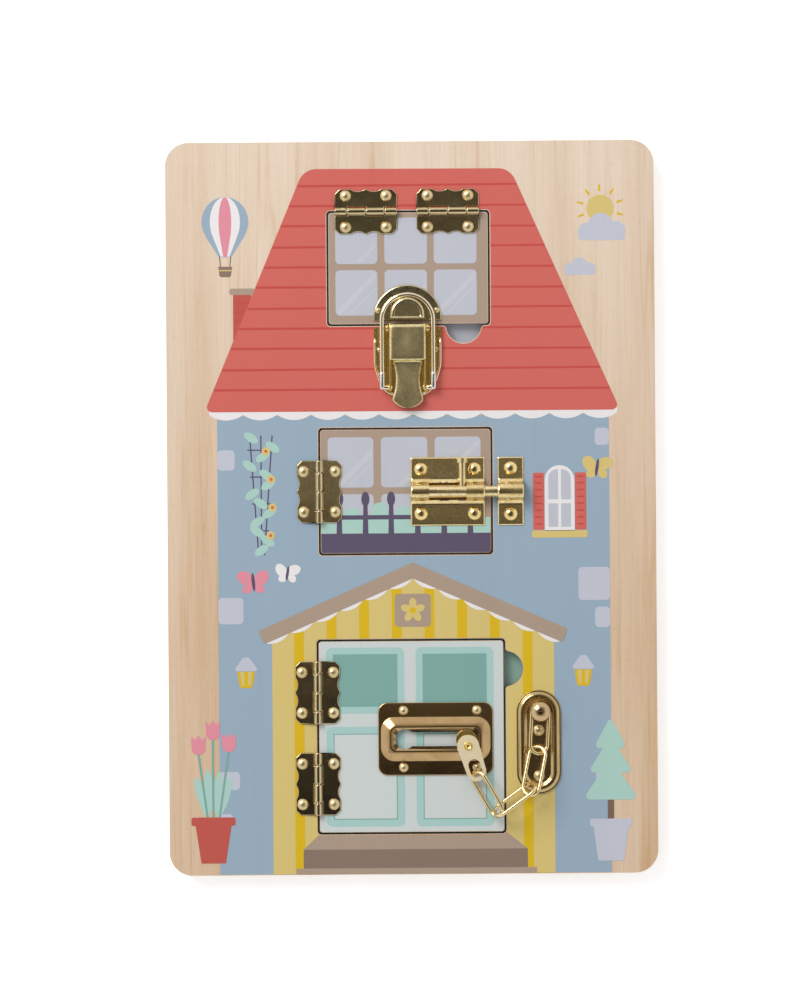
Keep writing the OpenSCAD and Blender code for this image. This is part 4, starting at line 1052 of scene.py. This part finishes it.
lever_line = arc(0, PIVOT_Z, NOSE_R, -10, 80, 6)
lever_line += [(y, HEAD_TOP + z) for y, z in (
    (0.0, 0), (-2.5, 0.03), (-6.5, 0.06), (-10.5, 0.03), (-12.2, 0), (-12.75, -0.12),
    (-13.1, -0.42), (-13.3, -0.85), (-13.45, -1.3))]
lever_line += [(-13.7, TAIL_TOP + 0.2), (-14.1, TAIL_TOP + 0.05), (-14.8, TAIL_TOP)]
lever_line += [(-y, TAIL_TOP + 0.25 * math.sin((y - 14.8) / 18 * math.pi))
               for y in (16, 18, 20, 22, 24, 26, 28, 29.5, 30.6, 31.4, 32.0, 32.4, 32.65, 32.78)]
SIDE_FALL = ((0.0, 1.15), (0.1, 0.62), (0.4, 0.26), (0.85, 0.06), (1.4, 0.0))
lever_rows = []
for y, z in lever_line:
    half = lever_half_width(-y)
    fall = 1.0 if y > -13 else 0.75
    squeeze = min(1.0, half / 4)
    row = [(-half + inset * squeeze, drop * fall) for inset, drop in SIDE_FALL]
    row += [(half * share, 0.0) for share in (-0.6, -0.2, 0.2, 0.6)]
    row += [(half - inset * squeeze, drop * fall) for inset, drop in reversed(SIDE_FALL)]
    lever_rows.append([(TOGGLE_X + x, PIVOT_Y + y, FACE + z - drop) for x, drop in row])
bm, grid = mesh_of_rows(lever_rows)
pressed_sheet("toggle_lever_brass", bm, "latch_lever", "sheet_brass", lever_brass,
              ["toggle_lever"], 0.75, 0.16, 2, 40)
cheek_side = ((2.0, 0), (1.4, 1.3), (0, 1.75), (-12.6, 1.6), (-24.3, 1.6), (-25.5, 1.1),
              (-25.9, 0), (-25.5, -1.1), (-24.3, -1.6), (0, -1.6), (1.4, -1.2))
for side, label in ((-1, "left"), (1, "right")):
    rows = [[(TOGGLE_X + side * x, PIVOT_Y + y, FACE + PIVOT_Z + z) for y, z in cheek_side]
            for x in (6.75, 7.45)]
    cheek = capped("toggle_cheek_" + label, rows, "latch_lever", gilt_brass)
    soften(cheek, 0.15, 2)


def tube(name, points, radii, body, material, sides=20):
    """A round wire along points in millimetres, with a radius at each of them."""
    places = [Vector(point) for point in points]
    rings = []
    reference = None
    for before, here, after, radius in zip(
            places[:1] + places, places, places[1:] + places[-1:], radii):
        along = (after - before).normalized()
        if reference is None:
            reference = along.orthogonal().normalized()
        reference = (reference - along * reference.dot(along)).normalized()
        other = along.cross(reference)
        rings.append([here + reference * u + other * v
                      for u, v in arc(0, 0, radius, 0, 360, sides)[:-1]])
    piece = capped(name, rings, body, material)
    for polygon in piece.data.polygons:
        polygon.use_smooth = True
    return piece


BASE_HALF, BASE_TOP, BASE_LEN = 13.85, 0.3, 28.0
BASE_SHOULDER, BASE_CORNER, BASE_FOOT_IN, RIM_IN = 12.2, 3.0, 7.2, 0.5
base_low = BASE_TOP - BASE_LEN
half_rim = [(BASE_HALF - RIM_IN, -4.2), (BASE_HALF - RIM_IN, base_low + BASE_SHOULDER),
            (BASE_HALF - BASE_CORNER - RIM_IN * 0.9, base_low + BASE_CORNER + RIM_IN * 0.6),
            (BASE_HALF - BASE_FOOT_IN - RIM_IN * 0.4, base_low + RIM_IN)]
rim_path = [(-x, y) for x, y in half_rim] + half_rim[::-1]
rim_points = []
for (xa, ya), (xb, yb) in zip(rim_path, rim_path[1:]):
    rim_points += [(xa + (xb - xa) * k / 6, ya + (yb - ya) * k / 6) for k in range(6)]
rim_points.append(rim_path[-1])
for turn in range(3):
    rim_points = [rim_points[0]] + [
        ((a[0] + 2 * b[0] + c[0]) / 4, (a[1] + 2 * b[1] + c[1]) / 4)
        for a, b, c in zip(rim_points, rim_points[1:], rim_points[2:])] + [rim_points[-1]]
tube("toggle_base_rim", [(TOGGLE_X + x, PIVOT_Y + y, FACE + 1.45) for x, y in rim_points],
     [0.6] * len(rim_points), "board", loop_brass, sides=14)

LOOP_DROP, LOOP_HALF, LOOP_LEN, LOOP_WIRE = 24.3, 10.45, 38.9, 1.0
LOOP_FOOT, FOOT_BEND = 6.4, 1.5
bow_rise = LOOP_LEN - LOOP_WIRE - LOOP_HALF
straights = (6, 12, 18, 24)
loop_path = [(-LOOP_FOOT, 0.0),
             *arc(FOOT_BEND - LOOP_HALF, FOOT_BEND, FOOT_BEND, -90, -180, 6),
             *((-LOOP_HALF, y) for y in straights), *arc(0, bow_rise, LOOP_HALF, 180, 0, 30),
             *((LOOP_HALF, y) for y in straights[::-1]),
             *arc(LOOP_HALF - FOOT_BEND, FOOT_BEND, FOOT_BEND, 0, -90, 6), (LOOP_FOOT, 0.0)]
loop = tube("toggle_loop_wire", [
    (TOGGLE_X + x, PIVOT_Y - LOOP_DROP + y, FACE + PIVOT_Z) for x, y in loop_path],
    [LOOP_WIRE] * len(loop_path), "latch_loop", loop_brass)
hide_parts("toggle_loop")
for side, label in ((-1, "left"), (1, "right")):
    tube("toggle_sleeve_" + label, [
        (TOGGLE_X + side * LOOP_HALF, PIVOT_Y - LOOP_DROP + y, FACE + PIVOT_Z)
        for y in (-0.9, -0.7, 0.4, 3.0, 5.6, 6.2, 6.4)],
        [0.5, 1.0, 1.28, 1.25, 1.18, 1.1, 0.8], "latch_loop", plated_wire)


# ---- barrel bolt on the balcony window ----
# A turned rod slides under a ridge pressed up from its plate. The ridge is cut away in the
# middle, where the rod's handle moves and the cut leaves ragged tabs. A keeper of the same
# pressing stands on the board.

BOLT_Y, BOLT_Z = 6.6, 3.4
PLATE_LEFT, PLATE_RIGHT, PLATE_HALF, PLATE_TOP = -0.35, 29.95, 13.95, 0.8
WINDOW_LEFT, WINDOW_RIGHT = 7.15, 22.45
PLATE_RIDGE_R, KEEPER_RIDGE_R, KEEPER_LEFT, KEEPER_RIGHT = 3.38, 3.7, 35.25, 45.85
# How far out and how high the cut ridge ends, at a tab and elsewhere
TAB_END, CUT_END, CUT_REACH = (3.6, 1.9), (3.72, 1.5), 3.58
EDGE_FALL, EDGE_WIDE = 0.36, 0.8
bolt_brass = brass_material("bolt_brass", (242, 222, 170), (190, 158, 92), 0.16, 0.14, 0.45, 0.1)


def half_section(outer_r):
    """Half of the sheet's section, from its edge to the top of the ridge, and where it rises."""
    flat = [(y, PLATE_TOP) for y in (PLATE_HALF, PLATE_HALF - 0.15, PLATE_HALF - 0.4,
                                     PLATE_HALF - 0.8, 9.0, 5.55)]
    foot = [(5.1, PLATE_TOP + 0.06), (4.7, PLATE_TOP + 0.22), (4.35, PLATE_TOP + 0.45),
            (4.1, PLATE_TOP + 0.62), (3.85, PLATE_TOP + 0.78)]
    wall = [(outer_r + 0.12, 2.0), (outer_r + 0.02, 2.6)]
    return flat + foot + wall + arc(0, BOLT_Z, outer_r, 0, 90, 10), len(flat + foot)


def ridge_plate(name, left, right, outer_r, body, window=None, tabs=()):
    """A plate with a ridge along its middle, and a window cut in the ridge.

    A tab is (from, to, whether it stands on both sides) and stays on the cut's edge.
    """
    half, lip = half_section(outer_r)
    section = [(-y, z) for y, z in half] + [(y, z) for y, z in reversed(half[:-1])]
    stations = [end + side * step for end, side in ((left, 1), (right, -1))
                for step in (0.0, 0.15, 0.4, 0.8)]
    if window:
        stations += [window[0] + (window[1] - window[0]) * k / 46 for k in range(47)]
    rows = []
    for x in sorted(stations):
        row = []
        for k, (y, z) in enumerate(section):
            near = min(k, len(section) - 1 - k)
            if window and window[0] < x < window[1] and near == lip:
                on_tab = any(a <= x <= b and (y > 0 or both) for a, b, both in tabs)
                out, z = TAB_END if on_tab else CUT_END
                y = math.copysign(out, y)
            from_edge = min(x - left, right - x, PLATE_HALF - abs(y))
            z -= EDGE_FALL * max(0.0, 1 - max(0.0, from_edge) / EDGE_WIDE) ** 2
            row.append((x, BOLT_Y + y, FACE + z))
        rows.append(row)
    bm, grid = mesh_of_rows(rows)
    if window:
        dead = []
        for face in bm.faces:
            middle = face.calc_center_median() / MM
            if window[0] < middle.x < window[1] and abs(middle.y - BOLT_Y) < CUT_REACH:
                dead.append(face)
        bmesh.ops.delete(bm, geom=dead, context="FACES")
    return pressed_sheet(name, bm, body, "sheet_brass", bolt_brass, (), 0.42, 0.12, 2, 50)


bolt_plate = ridge_plate("bolt_plate_brass", PLATE_LEFT, PLATE_RIGHT, PLATE_RIDGE_R,
                         "balcony_leaf", (WINDOW_LEFT, WINDOW_RIGHT),
                         ((7.3, 11.2, True), (12.6, 13.6, False), (15.2, 18.9, True)))
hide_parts("bolt_plate")
# A flat strip under the rod closes the strap and shows through the side slots. Its brass is painted
# darker than the plate's: painted shade under the rod
shaded_strap_floor_brass = brass_material("shaded_strap_floor_brass", (176, 128, 58), (112, 76, 32),
                                   0.3, 0.14, 0.3, 0.3)
finished("bolt_strap_floor", prism(
    [box_shape(WINDOW_LEFT - 0.5, BOLT_Y - 3.3, WINDOW_RIGHT + 0.5, BOLT_Y + 3.3)],
    FACE, FACE + 0.24), "balcony_leaf", shaded_strap_floor_brass)
keeper = ridge_plate("bolt_keeper_brass", KEEPER_LEFT, KEEPER_RIGHT, KEEPER_RIDGE_R, "board")
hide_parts("bolt_keeper")
rod_brass = brass_material("rod_brass", (244, 228, 184), (210, 182, 122), 0.2, 0.14, 0.4, 0.05)
dress("bolt_rod", rod_brass, 0.4)
dress("bolt_handle", rod_brass, 0.35)
bolt_nail_brass = brass_material("bolt_nail_brass", (240, 216, 156), (206, 172, 108),
                                 0.13, 0.1, 0.2, 0.1)
nail(bolt_nail_brass, "bolt_plate_nails", "bolt_keeper_nails")


# ---- chain lock on the front door ----
# A round-ended slider rides in the slot of a track pressed from sheet. Four wire links join
# it to a riveted knob on the anchor plate beside the door.

track_brass = brass_material("track_brass", (188, 159, 115), (148, 114, 72), 0.14, 0.1, 0.06, 0.2)
anchor_brass = brass_material("anchor_brass", (196, 172, 124), (156, 128, 84), 0.16, 0.12, 0.2, 0.2)
knob_brass = brass_material("knob_brass", (206, 180, 138), (150, 118, 84), 0.12, 0.1, 0.2, 0.1)

TRACK_X, TRACK_Y = 9.15, -94.6
# The raised part slopes up from the flange to a crest close round the slot
track_profile = [(23.45, 14.85, 3.7, 0.62), (23.3, 14.7, 3.6, 0.74), (22.9, 14.3, 3.3, 0.8),
                 (22.6, 9.3, 5.7, 0.8)]
for inset, high in ((0, 0.84), (0.25, 1.05), (0.9, 1.5), (1.7, 1.98), (2.5, 2.4), (3.2, 2.7),
                    (3.7, 2.86), (4.0, 2.92), (4.25, 2.88), (4.4, 2.78)):
    track_profile.append((22.3 - inset, 8.95 - inset, 5.5 - inset * 0.75, high))
bm, grid = mesh_of_rows([
    [(x, y, FACE + high) for x, y in box_shape(
        TRACK_X - across, TRACK_Y - along, TRACK_X + across, TRACK_Y + along, radius, 9)]
    for across, along, radius, high in track_profile], closed=True)
KEYHOLE_X, KEYHOLE_R, SLOT_HALF, SLOT_END = -3.4, 4.1, 2.9, 22.0
mouth = math.degrees(math.asin(SLOT_HALF / KEYHOLE_R))
slot_outline = (arc(KEYHOLE_X, TRACK_Y, KEYHOLE_R, mouth, 360 - mouth, 36)
                + arc(SLOT_END, TRACK_Y, SLOT_HALF, -90, 90, 18))
LIP_Z = 2.36
slot_lip = [bm.verts.new((x * MM, y * MM, (FACE + LIP_Z) * MM)) for x, y in slot_outline]
lip_edges = [bm.edges.new((a, b)) for a, b in zip(slot_lip, slot_lip[1:] + slot_lip[:1])]
inner = grid[-1]
inner_edges = [bm.edges.get((a, b)) for a, b in zip(inner, inner[1:] + inner[:1])]
bmesh.ops.triangle_fill(bm, edges=lip_edges + inner_edges, use_beauty=True)
pressed_sheet("chain_track_brass", bm, "door_leaf", "sheet_brass", track_brass,
              ["chain_track"], 0.7, 0.2, 2, 45)

ANCHOR_X, ANCHOR_Y, ANCHOR_HALF, ANCHOR_STRAIGHT = 51.4, -96.2, 9.1, 12.15
rings = []
for inset, high in ((0.0, 0.8), (0.6, 0.8), (0.85, 0.9), (1.15, 1.25), (1.6, 1.55), (2.15, 1.7),
                    (2.75, 1.7), (3.3, 1.52), (3.8, 1.2), (4.15, 0.92), (4.5, 0.8)):
    outline = (arc(ANCHOR_X, ANCHOR_Y + ANCHOR_STRAIGHT, ANCHOR_HALF - inset, 0, 180, 22)
               + arc(ANCHOR_X, ANCHOR_Y - ANCHOR_STRAIGHT, ANCHOR_HALF - inset, 180, 360, 22))
    rings.append([(x, y, FACE + high) for x, y in outline])
bm, grid = mesh_of_rows(rings, closed=True)
bm.faces.new(grid[-1])
pressed_sheet("chain_anchor_brass", bm, "board", "sheet_brass", anchor_brass,
              ["chain_anchor_plate"], 0.7, 0.2, 2, 45)

# The slider is only partly metal: its pale cream base, lit like matt paint, is a painted sheen
# standing in for the plate's bright reflection
slider_sheen_brass = brass_material("slider_sheen_brass", (250, 236, 200), (236, 214, 166),
                              0.22, 0.12, 0.3, 0.1, 0.3)


def lathe(name, profile, x, y, body, material):
    """A turned piece from (radius, height above the board) pairs."""
    rows = [[(u, v, FACE + z) for u, v in arc(x, y, radius, 0, 360, 40)[:-1]]
            for radius, z in profile]
    return soften(capped(name, rows, body, material), 0.04, 1, 40)


STUD_X, STUD_Y, SLIDER_Z, SLIDER_T = 21.6, -95.0, 3.45, 1.0
SLIDER_TURN = math.radians(-72.44)
stud = lathe("chain_slider_stud_brass", (
    (0.4, 0.4), (3.6, 0.4), (3.7, 0.55), (3.7, 1.35), (3.6, 1.5), (2.4, 1.52), (2.4, 3.06),
    (3.9, 3.08), (4.2, 3.16), (4.25, 3.22), (4.1, 3.36), (0.4, 3.4)),
    STUD_X, STUD_Y, "slider_stud", gilt_brass)
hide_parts("chain_slider_stud")
DISC_OFF, DISC_R, BAR_R, SLIDER_REACH, EYE_HALF, EYE_START = 2.6, 4.5, 4.05, 17.55, 2.45, 8.4
end_x = SLIDER_REACH - BAR_R
lean = math.degrees(math.asin((DISC_R - BAR_R) / (end_x - DISC_OFF)))
outer = (arc(DISC_OFF, 0, DISC_R, 90 - lean, 270 + lean, 30)
         + arc(end_x, 0, BAR_R, -90 - lean, 90 + lean, 26))
eye = (arc(EYE_START + EYE_HALF, 0, EYE_HALF, 270, 90, 18)
       + arc(end_x, 0, EYE_HALF, 90, -90, 18))


def slider_place(x, y, z):
    """Where a point of the slider lies, given from its stud along the slider and across it."""
    return Vector((STUD_X + x * math.cos(SLIDER_TURN) - y * math.sin(SLIDER_TURN),
                   STUD_Y + x * math.sin(SLIDER_TURN) + y * math.cos(SLIDER_TURN),
                   FACE + z)) * MM


bm = bmesh.new()
edges = []
for ring in (outer, eye):
    verts = [bm.verts.new(slider_place(x, y, SLIDER_Z + SLIDER_T)) for x, y in ring]
    edges += [bm.edges.new((a, b)) for a, b in zip(verts, verts[1:] + verts[:1])]
bmesh.ops.triangle_fill(bm, edges=edges, use_beauty=True)
pressed_sheet("chain_slider_plate_brass", bm, "slider_plate", "brass_wire", slider_sheen_brass,
              ["chain_slider_plate"], SLIDER_T, 0.47, 4, 40)
rivet_x, rivet_y = (slider_place(DISC_OFF, 0, 0) / MM)[:2]
lathe("chain_slider_rivet", (
    (0.2, 4.5), (0.55, 4.5), (0.85, 4.62), (1.15, 4.9), (1.4, 4.98), (1.65, 4.9), (1.8, 4.66),
    (1.84, 4.3), (0.2, 4.3)), rivet_x, rivet_y, "slider_plate", gilt_brass)
for i in range(1, 5):
    link = dress("chain_link_%d" % i, wire_brass, 0.05)
    link.modifiers.clear()
dress("chain_anchor_knob", knob_brass, 0.2)
nail(nail_brass, "chain_track_nails", "chain_anchor_nails")

for thing in list(bpy.data.objects):
    if thing.name.endswith(("_print_area", "_print_gaps")):
        bpy.data.objects.remove(thing)
